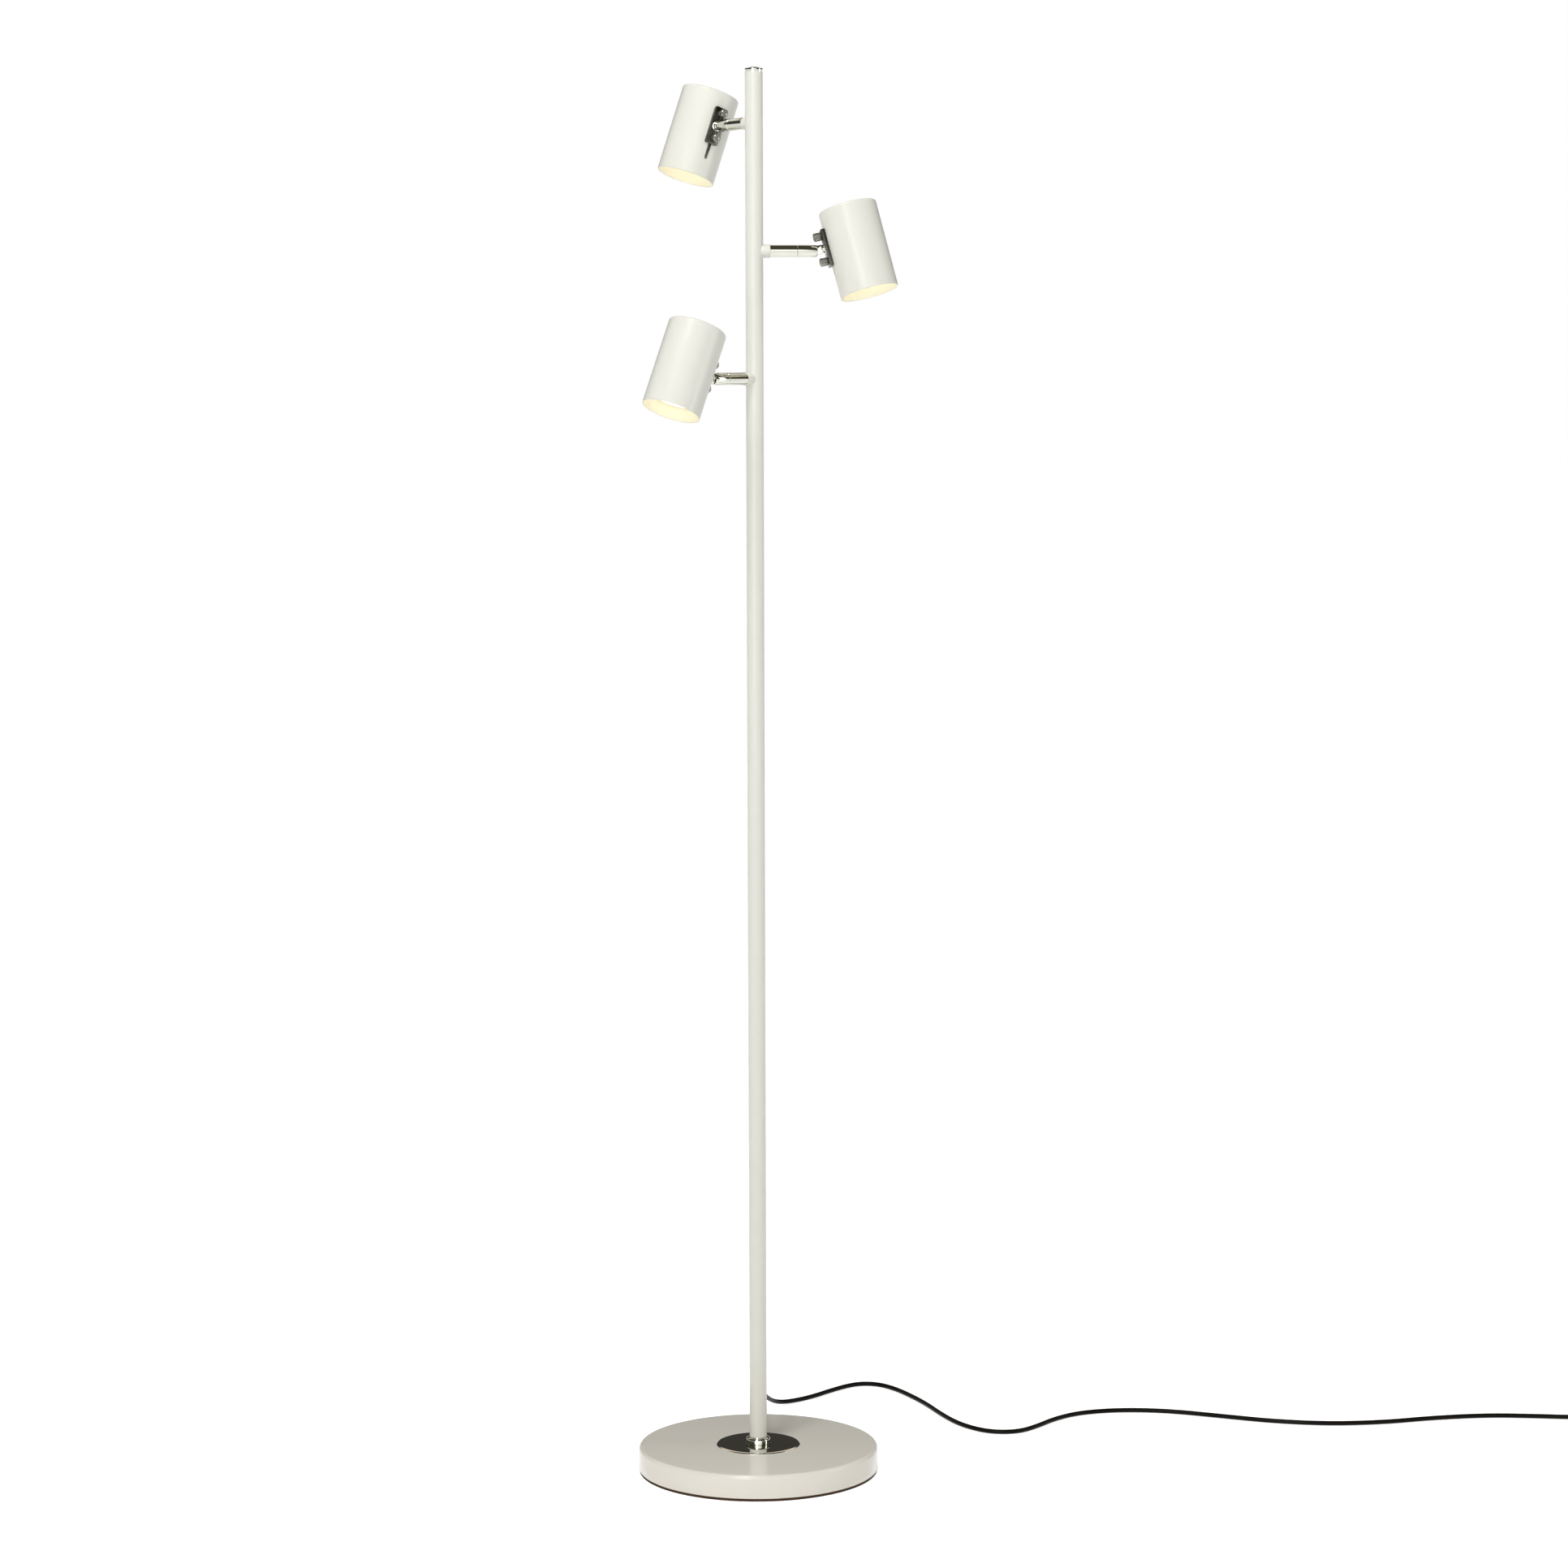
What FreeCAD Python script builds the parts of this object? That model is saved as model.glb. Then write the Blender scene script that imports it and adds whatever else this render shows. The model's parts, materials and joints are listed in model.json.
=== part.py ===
import FreeCAD, Part
import math
import os
import re
import Sketcher

# Three-light tree floor lamp, in millimetres.
# Origin: the pole's axis at floor level. +Z up, +X to the viewer's right, +Y to the back.

SIZES = {
    # whole lamp
    "overall_height": 1450,
    # base
    "base_dia": 250,
    "base_height": 27,
    "foot_height": 3,
    "foot_width": 8,
    "foot_inset": 0.8,
    "cover_wall": 1.2,
    "cover_round": 4,
    "weight_thickness": 10,
    "weight_gap": 4,
    "boss_ring_radius": 80,
    "weight_boss_dia": 14,
    "plate_sheet": 1.5,
    "plate_gap": 0.3,
    "plate_screw_dia": 4,
    "plate_screw_head_dia": 8,
    "plate_screw_head_height": 2,
    "plate_screw_depth": 8,
    "thread_gap": 0.02,
    # what fastens the pole to the base
    "escutcheon_dia": 87.5,
    "escutcheon_thickness": 1.4,
    "escutcheon_bevel": 2,
    "collar_dia": 25.2,
    "collar_height": 7,
    "collar_floor": 2.5,
    "collar_chamfer": 3,
    "stud_dia": 10,
    "stud_reach": 18,
    "stud_spare": 2,
    "washer_dia": 26,
    "washer_thickness": 1.5,
    "nut_corners": 19.6,
    "nut_height": 5.5,
    "foot_plug_length": 21,
    # pole
    "pole_dia": 18,
    "pole_wall": 1.2,
    "cap_rim_height": 4,
    "cap_dome_dia": 13,
    "cap_dome_height": 1.5,
    "cap_spigot_length": 8,
    "wire_hole_dia": 7,
    # wiring inside the pole
    "trunk_dia": 7,
    "branch_dia": 3.4,
    "block_gap": 0.44609,  # between the block's corners and the bore
    "block_length": 22,
    "block_above_cord": 14,
    # arms
    "top_arm_below_top": 56,
    "arm_spacing": 129,
    "arm_dia": 12.5,
    "boss_dia": 13.5,
    "boss_length": 6.7,
    "spigot_dia": 9,
    "spigot_length": 5,
    "arm_bore_dia": 5.6,
    "inner_arm_length": 27.9,
    "swivel_gap": 0.3,
    "swivel_tube_dia": 8.4,
    "swivel_tube_seat": 8,
    "swivel_tube_bore": 5,
    "swivel_head_dia": 10,
    "swivel_head_length": 2,
    "swivel_web": 6,
    "running_gap": 0.05,
    "outer_arm_length": 20.4,
    "arm_end_round": 1.2,
    "pivot_setback": 3.3,
    "pivot_dia": 3,
    "pivot_length": 11.4,
    # head bracket
    "tongue_width": 5,
    "tongue_height": 8.6,
    "tongue_gap": 0.1,
    "slot_end_gap": 0.4,
    "neck_dia": 9,
    "neck_start": 7.6,
    "plate_offset": 11.5,
    "plate_thickness": 3,
    "plate_width": 14,
    "plate_length": 39,
    "plate_corner": 1.5,
    "seat_gap": 0.15,
    "screw_spacing": 26.4,
    "thumb_dia": 8.6,
    "thumb_length": 8.6,
    "thumb_chamfer": 1,
    "clamp_screw_dia": 3.4,
    "lead_dia": 2.8,
    "lead_gap": 0.15,
    # shade
    "shade_dia": 60,
    "shade_wall": 1,
    "shade_length": 91,
    "shade_round": 2.5,
    "pivot_below_top": 36.5,
    "slot_width": 4,
    "slot_below_plate": 16,
    "slot_above_screw": 0.3,
    # lamp carrier, holder and lamp
    "strip_width": 12,
    "strip_sheet": 1.5,
    "strip_below_pivot": 19,
    "clamp_nut_dia": 7,
    "clamp_nut_height": 2.2,
    "shelf_height": 30.5,
    "shelf_past_axis": 9,
    "holder_dia": 25,
    "holder_length": 18,
    "lamp_face_dia": 50,
    "lamp_face_recess": 11.5,
    "lamp_rim_height": 6,
    "lamp_cone_top_dia": 24,
    "lamp_cap_dia": 20,
    "lamp_cap_height": 14,
    "lamp_face_bulge": 1.2,
    # mains cord and what is on it
    "cord_dia": 5,
    "cord_exit_height": 76,
    "bushing_hole_dia": 8,
    "bushing_flange_dia": 11,
    "bushing_flange_thickness": 2,
    "bushing_reach": 33,  # from the pole's axis, where the cord leaves the bushing
    "bushing_tip_dia": 6.4,
    "coil_radius": 30,
    "coil_pitch": 5.6,
    "coil_turns": 3.25,
    "coil_lead_in": 34,
    "switch_length": 78,
    "switch_width": 34,
    "switch_height": 22,
    "switch_corner": 12,
    "switch_edge": 3,
    "button_dia": 22,
    "button_gap": 0.3,
    "button_height": 9,
    "button_well": 10,
    "button_proud": 4,
    "plug_width": 35,
    "plug_back_width": 12,
    "plug_thickness": 13.7,
    "plug_length": 36,
    "plug_shoulder": 20,
    "plug_edge": 2.5,
    "pin_dia": 4,
    "pin_length": 19,
    "pin_spacing": 18.6,
}

# Where each arm points, in degrees from +X seen from above, and how its head stands:
# swivel about the arm's own axis, and tilt about the pivot across the arm's end.
AZIMUTH = {1: 121.5, 2: 6.0, 3: 228.0}
SWIVEL = {1: 19.6, 2: -11.5, 3: -2.0}
TILT = {1: -1.0, 2: -13.3, 3: -24.2}

# The mains cord, from the bushing's tip to the foot switch.
CORD_FLOOR = 2.6
CORD_ROUTE = [
    (0, 33, 76),
    (0, 54, 76),
    (0.5, 96, 69),
    (2, 145, 54),
    (5, 190, 34),
    (10, 228, 17),
    (21, 256, 5),
    (38, 270.6, 2.6),
    (60.6, 289.8, 2.6),
    (83.2, 319, 2.6),
    (106.5, 343.4, 2.6),
    (122.9, 347.6, 2.6),
    (138.9, 341.8, 2.6),
    (155.5, 321.6, 2.6),
    (172.2, 288.7, 2.6),
    (187.2, 253.6, 2.6),
    (202.1, 207.6, 2.6),
    (219.1, 168.1, 2.6),
    (242.2, 141, 2.6),
    (263.2, 133.5, 2.6),
    (284.5, 138.3, 2.6),
    (304.4, 160.5, 2.6),
    (323.9, 188.7, 2.6),
    (352.1, 213.8, 2.6),
    (395, 226, 2.6),
    (448, 222, 2.6),
    (502, 200, 2.6),
    (558, 176, 2.6),
    (618, 163, 2.6),
    (680, 168, 2.6),
    (738, 186, 2.6),
    (797, 196, 2.6),
    (850, 192, 2.6),
    (893, 184.5, 2.9),
    (914, 184, 4.4),
    (930, 184, 4.4),
]
X, Y, Z = (FreeCAD.Vector(*axis) for axis in ((1, 0, 0), (0, 1, 0), (0, 0, 1)))

doc = FreeCAD.newDocument("TreeFloorLamp")
sheet = doc.addObject("Spreadsheet::Sheet", "Sizes")
for row, (alias, value) in enumerate(SIZES.items(), start=1):
    sheet.set(f"A{row}", alias)
    sheet.set(f"B{row}", str(value))
    sheet.setAlias(f"B{row}", alias)
doc.recompute()
nodes = {}


def size(alias):
    return float(sheet.get(alias))


def formula(text):
    """A formula in the sheet's own words, as an expression."""
    return re.sub(r"[a-z][a-z_]+", lambda word: "Sizes." + word.group(), text)


def bind(item, **formulas):
    for name, text in formulas.items():
        item.setExpression(name, formula(text))
    return item


def at(item, x="0", y="0", z="0"):
    """Bind where a piece starts."""
    for axis, text in (("x", x), ("y", y), ("z", z)):
        if text != "0":
            item.setExpression(f"Placement.Base.{axis}", formula(text))
    return item


def rod(name, radius, length, start="0", along="z", **place):
    """A cylinder along x, y or z."""
    item = doc.addObject("Part::Cylinder", name)
    turn = {"x": (Y, 90), "y": (X, -90), "z": (Z, 0)}[along]
    item.Placement = FreeCAD.Placement(FreeCAD.Vector(), FreeCAD.Rotation(*turn))
    bind(item, Radius=radius, Height=length)
    return at(item, **{along: start, **place})


def block(name, low, sides):
    item = doc.addObject("Part::Box", name)
    bind(item, Length=sides[0], Width=sides[1], Height=sides[2])
    return at(item, *low)


def join(name, *pieces):
    item = doc.addObject("Part::MultiFuse", name)
    item.Shapes = list(pieces)
    return item


def cut(name, base, *tools):
    item = doc.addObject("Part::Cut", name)
    item.Base = base
    item.Tool = tools[0] if len(tools) == 1 else join(name + "_tools", *tools)
    return item


def overlap(name, first, second):
    item = doc.addObject("Part::Common", name)
    item.Base = first
    item.Tool = second
    return item


def group(name, *pieces):
    item = doc.addObject("Part::Compound", name)
    item.Links = list(pieces)
    return item


def origin_plane(body, role):
    return next(item for item in body.Origin.OriginFeatures if item.Role == role)


def outline(body, name, role, corners):
    """A closed sketch of straight lines, with each corner's place bound to the sheet."""
    sketch = body.newObject("Sketcher::SketchObject", name)
    sketch.AttachmentSupport = (origin_plane(body, role), [""])
    sketch.MapMode = "FlatFace"
    count = len(corners)
    ring = [2 * math.pi * k / count for k in range(count)]
    start = [FreeCAD.Vector(20 + math.cos(a), 20 + math.sin(a), 0) for a in ring]
    for k in range(count):
        sketch.addGeometry(Part.LineSegment(start[k], start[(k + 1) % count]), False)
    for k in range(count):
        sketch.addConstraint(Sketcher.Constraint("Coincident", k, 2, (k + 1) % count, 1))
    for k, corner in enumerate(corners):
        for kind, axis, text in zip(("DistanceX", "DistanceY"), (-2, -1), corner):
            if text == "0":
                sketch.addConstraint(Sketcher.Constraint("PointOnObject", k, 1, axis))
            else:
                found = sketch.addConstraint(Sketcher.Constraint(kind, -1, 1, k, 1, 20.0 + k))
                sketch.setExpression(f"Constraints[{found}]", formula(text))
    doc.recompute()
    return sketch


def turned(name, corners):
    """A body turned about z from its half section: corners are (radius, height)."""
    body = doc.addObject("PartDesign::Body", name)
    turn = body.newObject("PartDesign::Revolution", name + "_turn")
    turn.Profile = outline(body, name + "_section", "XZ_Plane", corners)
    turn.ReferenceAxis = (turn.Profile[0], ["V_Axis"])
    turn.Angle = 360
    doc.recompute()
    return body


def rounded(body, name, radius, *circles):
    """Round the turned body's circular edges that have these (radius, height)."""
    base = body.Tip
    edges = []
    for k, edge in enumerate(base.Shape.Edges, start=1):
        curve = edge.Curve
        if not hasattr(curve, "Radius"):
            continue
        for ring, height in circles:
            if abs(curve.Radius - ring) < 1e-4 and abs(curve.Center.z - height) < 1e-4:
                edges.append(f"Edge{k}")
    if len(edges) != len(circles):
        raise RuntimeError(f"{name}: {len(edges)} edges found for {len(circles)} circles")
    item = body.newObject("PartDesign::Fillet", name)
    item.Base = (base, edges)
    bind(item, Radius=radius)
    doc.recompute()
    return body


def keep(node, item, placement=None):
    """Name a finished sub-part, and put it where it belongs."""
    item.Label = node
    if placement is not None:
        item.Placement = placement
    nodes[node] = item


# ---- paths of round tubes ----

def corner_arc(before, corner, after):
    """The arc that rounds one corner of a route, with its radius."""
    back = before - corner
    ahead = after - corner
    half_turn = (math.pi - back.getAngle(ahead)) / 2
    radius = 0.45 * min(back.Length, ahead.Length) / math.tan(half_turn)
    reach = radius * math.tan(half_turn)
    first = corner + back.normalize() * reach
    last = corner + ahead.normalize() * reach
    inward = (back + ahead).normalize()
    middle = corner + inward * (radius / math.cos(half_turn) - radius)
    return first, middle, last, radius


def route_wire(points):
    """Straight runs joined by tangent arcs."""
    corners = [FreeCAD.Vector(*point) for point in points]
    edges = []
    radii = []
    here = corners[0]
    for k in range(1, len(corners) - 1):
        first, middle, last, radius = corner_arc(*corners[k - 1:k + 2])
        edges.append(Part.LineSegment(here, first).toShape())
        edges.append(Part.Arc(first, middle, last).toShape())
        radii.append(radius)
        here = last
    edges.append(Part.LineSegment(here, corners[-1]).toShape())
    return Part.Wire(edges), radii


def arc_from(start, heading, end):
    """The arc that leaves start along heading and passes through end."""
    chord = end - start
    angle = heading.getAngle(chord)
    if angle < 1e-6:
        return Part.LineSegment(start, end).toShape()
    along = chord.normalize()
    length = (end - start).Length
    side = (heading - along * heading.dot(along)).normalize()
    middle = start + along * (length / 2) + side * (length / 2 * math.tan(angle / 2))
    return Part.Arc(start, middle, end).toShape()


def biarc(start, heading, end, leaving):
    """Two arcs that join two places in their two headings."""
    gap = end - start
    both = heading + leaving
    spread = 2 * (1 - heading.dot(leaving))
    dot = gap.dot(both)
    if spread < 1e-9:
        side = gap - heading * gap.dot(heading)
        if side.Length < 1e-6:
            return [Part.LineSegment(start, end).toShape()]
        reach = gap.dot(gap) / (4 * gap.dot(leaving))
    else:
        reach = (math.sqrt(dot * dot + spread * gap.dot(gap)) - dot) / spread
    joint = (start + heading * reach + end - leaving * reach) * 0.5
    second = arc_from(end, leaving * -1, joint)
    return [arc_from(start, heading, joint), second]


def tube(wire, diameter):
    """A solid round tube along a wire, after its volume is compared with its length."""
    first = wire.OrderedEdges[0]
    start = first.valueAt(first.FirstParameter)
    heading = first.tangentAt(first.FirstParameter)
    if start.distanceToPoint(wire.OrderedVertexes[0].Point) > 1e-6:
        start = first.valueAt(first.LastParameter)
        heading = first.tangentAt(first.LastParameter) * -1
    section = Part.Wire([Part.makeCircle(diameter / 2, start, heading)])
    solid = wire.makePipeShell([section], True, False)
    if solid.Volume < 0:
        solid.reverse()
    expected = math.pi * diameter ** 2 / 4 * wire.Length
    if abs(solid.Volume / expected - 1) > 0.01:
        raise RuntimeError(f"tube volume {solid.Volume:.1f}, expected {expected:.1f}")
    return solid


def shaped(name, shape):
    item = doc.addObject("Part::Feature", name)
    item.Shape = shape
    return item


# ---- base ----

def make_base():
    under = "base_height - cover_wall"
    inner = "base_dia / 2 - cover_wall"
    hole = "stud_dia / 2 + plate_gap"
    cover = turned("cover", [
        (hole, "base_height"), ("base_dia / 2", "base_height"), ("base_dia / 2", "foot_height"),
        (inner, "foot_height"), (inner, under), (hole, under),
    ])
    rim = size("base_dia") / 2
    top = size("base_height")
    wall = size("cover_wall")
    rounded(cover, "cover_outer_edge", "cover_round", (rim, top))
    rounded(cover, "cover_inner_edge", "cover_round - cover_wall", (rim - wall, top - wall))
    keep("base_cover", cover)

    outer = "base_dia / 2 - foot_inset"
    keep("foot_ring", cut(
        "foot", rod("foot_disc", outer, "foot_height"),
        rod("foot_middle", outer + " - foot_width", "foot_height + 2", "-1"),
    ))

    plate_top = "foot_height + plate_sheet"
    screw_tip = plate_top + " + plate_screw_depth"
    weight_low = under + " - weight_thickness"
    spots = [math.radians(90 + 120 * k) for k in range(3)]
    spots = [(f"boss_ring_radius * {math.cos(a):.9f}", f"boss_ring_radius * {math.sin(a):.9f}") for a in spots]
    bosses, threads, holes, screws = [], [], [], []
    for k, (x, y) in enumerate(spots):
        place = {"x": x, "y": y}
        bosses.append(rod(
            f"weight_boss_{k}", "weight_boss_dia / 2", f"{under} - 1 - ({plate_top})", plate_top, **place))
        threads.append(rod(
            f"weight_thread_{k}", "plate_screw_dia / 2 + thread_gap",
            f"{screw_tip} + 1 - foot_height", "foot_height", **place))
        holes.append(rod(
            f"plate_hole_{k}", "plate_screw_dia / 2 + plate_gap", "plate_sheet + 2", "foot_height - 1", **place))
        screws.append(join(
            f"plate_screw_{k}",
            rod(f"screw_head_{k}", "plate_screw_head_dia / 2", "plate_screw_head_height",
                "foot_height - plate_screw_head_height", **place),
            rod(f"screw_shank_{k}", "plate_screw_dia / 2", f"{screw_tip} - foot_height", "foot_height", **place)))
    disc = rod("weight_disc", inner + " - weight_gap", "weight_thickness", weight_low)
    stud_hole = rod("weight_hole", hole, "base_height", "0")
    keep("base_weight", cut("weight", join("weight_blank", disc, *bosses), stud_hole, *threads))
    sheet_disc = rod("plate_disc", inner + " - plate_gap", "plate_sheet", "foot_height")
    keep("base_plate", cut("bottom_plate", sheet_disc, *holes))
    keep("base_plate_screws", group("plate_screws", *screws))


# ---- what fastens the pole to the base, the pole and its cap ----

def make_pole():
    seat = "base_height + escutcheon_thickness"
    hole = "stud_dia / 2 + thread_gap"
    keep("escutcheon", turned("disc", [
        (hole, seat), ("escutcheon_dia / 2 - escutcheon_bevel", seat),
        ("escutcheon_dia / 2", "base_height + escutcheon_thickness / 3"),
        ("escutcheon_dia / 2", "base_height"), (hole, "base_height"),
    ]))
    pole_low = seat + " + collar_floor"
    bore = "pole_dia / 2 + thread_gap"
    keep("pole_collar", turned("collar", [
        (hole, seat), ("collar_dia / 2", seat), ("collar_dia / 2", seat + " + collar_height - collar_chamfer"),
        (bore + " + plate_gap", seat + " + collar_height"), (bore, seat + " + collar_height"),
        (bore, pole_low), (hole, pole_low),
    ]))
    inside = "pole_dia / 2 - pole_wall"
    keep("pole_foot_plug", cut(
        "foot_plug", rod("foot_plug_bar", inside, "foot_plug_length", pole_low),
        rod("foot_plug_thread", hole, "foot_plug_length + 2", pole_low + " - 1")))

    under = "base_height - cover_wall - weight_thickness"
    stud_low = under + " - washer_thickness - nut_height - stud_spare"
    keep("pole_stud", rod("stud", "stud_dia / 2", f"{pole_low} + stud_reach - ({stud_low})", stud_low))
    washer_low = under + " - washer_thickness"
    keep("stud_washer", cut(
        "washer", rod("washer_disc", "washer_dia / 2", "washer_thickness", washer_low),
        rod("washer_hole", hole, "washer_thickness + 2", washer_low + " - 1")))
    nut = doc.addObject("Part::Prism", "nut_blank")
    nut.Polygon = 6
    bind(nut, Circumradius="nut_corners / 2", Height="nut_height")
    at(nut, z=washer_low + " - nut_height")
    keep("stud_nut", cut(
        "nut", nut, rod("nut_thread", hole, "nut_height + 2", washer_low + " - nut_height - 1")))

    cap_low = "overall_height - cap_rim_height - cap_dome_height"
    tools = [rod("pole_bore", inside, "overall_height", pole_low + " - 1")]
    tools.append(rod("pole_cord_hole", "bushing_hole_dia / 2 + plate_gap", "pole_dia", "0", "y", z="cord_exit_height"))
    for number in AZIMUTH:
        hole_rod = rod(f"pole_arm_hole_{number}", "wire_hole_dia / 2", "pole_dia", along="x")
        hole_rod.Placement = arm_frame(number)
        tools.append(hole_rod)
    body = rod("pole_bar", "pole_dia / 2", f"{cap_low} - ({pole_low})", pole_low)
    keep("pole_tube", cut("pole", body, *tools))

    rim = cap_low + " + cap_rim_height"
    cap = turned("cap", [
        ("0", cap_low + " - cap_spigot_length"), (inside, cap_low + " - cap_spigot_length"),
        (inside, cap_low), ("pole_dia / 2", cap_low), ("pole_dia / 2", rim),
        ("cap_dome_dia / 2", rim), ("cap_dome_dia / 2", "overall_height"), ("0", "overall_height"),
    ])
    rounded(cap, "cap_rim_edge", "cap_dome_height * 0.4",
            (size("pole_dia") / 2, size("overall_height") - size("cap_dome_height")))
    rounded(cap, "cap_dome_edge", "cap_dome_height * 0.9", (size("cap_dome_dia") / 2, size("overall_height")))
    keep("top_cap", cap)


def make_wiring():
    block_low = "cord_exit_height + block_above_cord"
    block_top = block_low + " + block_length"
    side = "(pole_dia - pole_wall * 2 - block_gap * 2) / 1.414213562"  # across the corners, over root two
    half = f"-({side}) / 2"
    keep("terminal_block", block("terminals", (half, half, block_low), (side, side, "block_length")))
    trunk_top = "overall_height - top_arm_below_top + branch_dia / 2"
    trunk = rod("trunk", "trunk_dia / 2", f"{trunk_top} - ({block_top})", block_top)
    reach = "pole_dia / 2 + boss_length + inner_arm_length + swivel_gap + swivel_web"
    branches = []
    for number in AZIMUTH:
        branch = rod(f"branch_{number}", "branch_dia / 2", reach)
        branch.Placement = arm_frame(number)
        branches.append(branch)
    keep("pole_wiring", join("wiring", trunk, *branches))


# ---- arms and heads ----

def arm_height(number):
    return size("overall_height") - size("top_arm_below_top") - (number - 1) * size("arm_spacing")


def arm_frame(number, swivel=0.0):
    """Local z runs out along the arm, from the pole's axis, and local x is up before the swivel."""
    out_and_up = FreeCAD.Rotation(Z, -Y, X, "ZXY")
    turn = FreeCAD.Rotation(Z, AZIMUTH[number]) * FreeCAD.Rotation(X, swivel) * out_and_up
    return FreeCAD.Placement(FreeCAD.Vector(0, 0, arm_height(number)), turn)


def head_frame(number):
    """Local x runs out from the pivot, square to the shade, and local z up along the shade."""
    pivot = size("pole_dia") / 2 + size("boss_length") + size("inner_arm_length")
    pivot += size("swivel_gap") + size("outer_arm_length") - size("pivot_setback")
    face = FreeCAD.Rotation(Z, AZIMUTH[number])
    turn = face * FreeCAD.Rotation(X, SWIVEL[number]) * FreeCAD.Rotation(Y, TILT[number])
    place = FreeCAD.Vector(0, 0, arm_height(number)) + face.multVec(X * pivot)
    return FreeCAD.Placement(place, turn)


def make_arm(number):
    fixed = arm_frame(number)
    turned_arm = arm_frame(number, SWIVEL[number])
    tag = f"_{number}"
    boss_end = "pole_dia / 2 + boss_length"
    inner_end = boss_end + " + inner_arm_length"
    outer_low = inner_end + " + swivel_gap"
    outer_end = outer_low + " + outer_arm_length"
    pivot = outer_end + " - pivot_setback"

    boss = cut(
        "boss" + tag, rod("boss_bar" + tag, "boss_dia / 2", boss_end),
        rod("boss_saddle" + tag, "pole_dia / 2", "boss_dia * 2", "-boss_dia", "x"),
        rod("boss_bore" + tag, "spigot_dia / 2 + thread_gap", boss_end + " + 1"))
    keep("arm_boss" + tag, boss, fixed)

    seat = inner_end + " - swivel_tube_seat"
    keep("arm_inner" + tag, turned("inner" + tag, [
        ("arm_bore_dia / 2", boss_end + " - spigot_length"), ("spigot_dia / 2", boss_end + " - spigot_length"),
        ("spigot_dia / 2", boss_end), ("arm_dia / 2", boss_end), ("arm_dia / 2", inner_end),
        ("swivel_tube_dia / 2 + thread_gap", inner_end), ("swivel_tube_dia / 2 + thread_gap", seat),
        ("arm_bore_dia / 2", seat),
    ]), fixed)

    head_low = outer_low + " + swivel_web + running_gap"
    head_top = head_low + " + swivel_head_length"
    keep("arm_swivel_tube" + tag, turned("swivel" + tag, [
        ("swivel_tube_bore / 2", seat), ("swivel_tube_dia / 2", seat), ("swivel_tube_dia / 2", head_low),
        ("swivel_head_dia / 2", head_low), ("swivel_head_dia / 2", head_top), ("swivel_tube_bore / 2", head_top),
    ]), fixed)

    chamber_top = head_top + " + running_gap"
    fork = turned("fork_blank" + tag, [
        ("swivel_tube_dia / 2 + running_gap", outer_low), ("arm_dia / 2", outer_low),
        ("arm_dia / 2", outer_end), ("arm_bore_dia / 2", outer_end), ("arm_bore_dia / 2", chamber_top),
        ("swivel_head_dia / 2 + running_gap * 2", chamber_top),
        ("swivel_head_dia / 2 + running_gap * 2", outer_low + " + swivel_web"),
        ("swivel_tube_dia / 2 + running_gap", outer_low + " + swivel_web"),
    ])
    end = sum(size(part) for part in (
        "boss_length", "inner_arm_length", "swivel_gap", "outer_arm_length")) + size("pole_dia") / 2
    rounded(fork, "fork_edge" + tag, "arm_end_round", (size("arm_dia") / 2, end))
    slot_low = pivot + " - tongue_height / 2 - slot_end_gap"
    slot_width = "tongue_width + tongue_gap * 2"
    slot = block("fork_slot" + tag, ("-arm_dia", f"-({slot_width}) / 2", slot_low),
                 ("arm_dia * 2", slot_width, "outer_arm_length"))
    hole = rod("fork_hole" + tag, "pivot_dia / 2 + thread_gap", "arm_dia * 2", "-arm_dia", "y", z=pivot)
    keep("arm_outer" + tag, cut("outer" + tag, fork, slot, hole), turned_arm)
    keep("tilt_pin" + tag, group(
        "tilt" + tag, rod("pin" + tag, "pivot_dia / 2", "pivot_length", "-pivot_length / 2", "y", z=pivot)), turned_arm)


def shade_axis():
    return "plate_offset + plate_thickness + seat_gap + shade_dia / 2"


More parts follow.
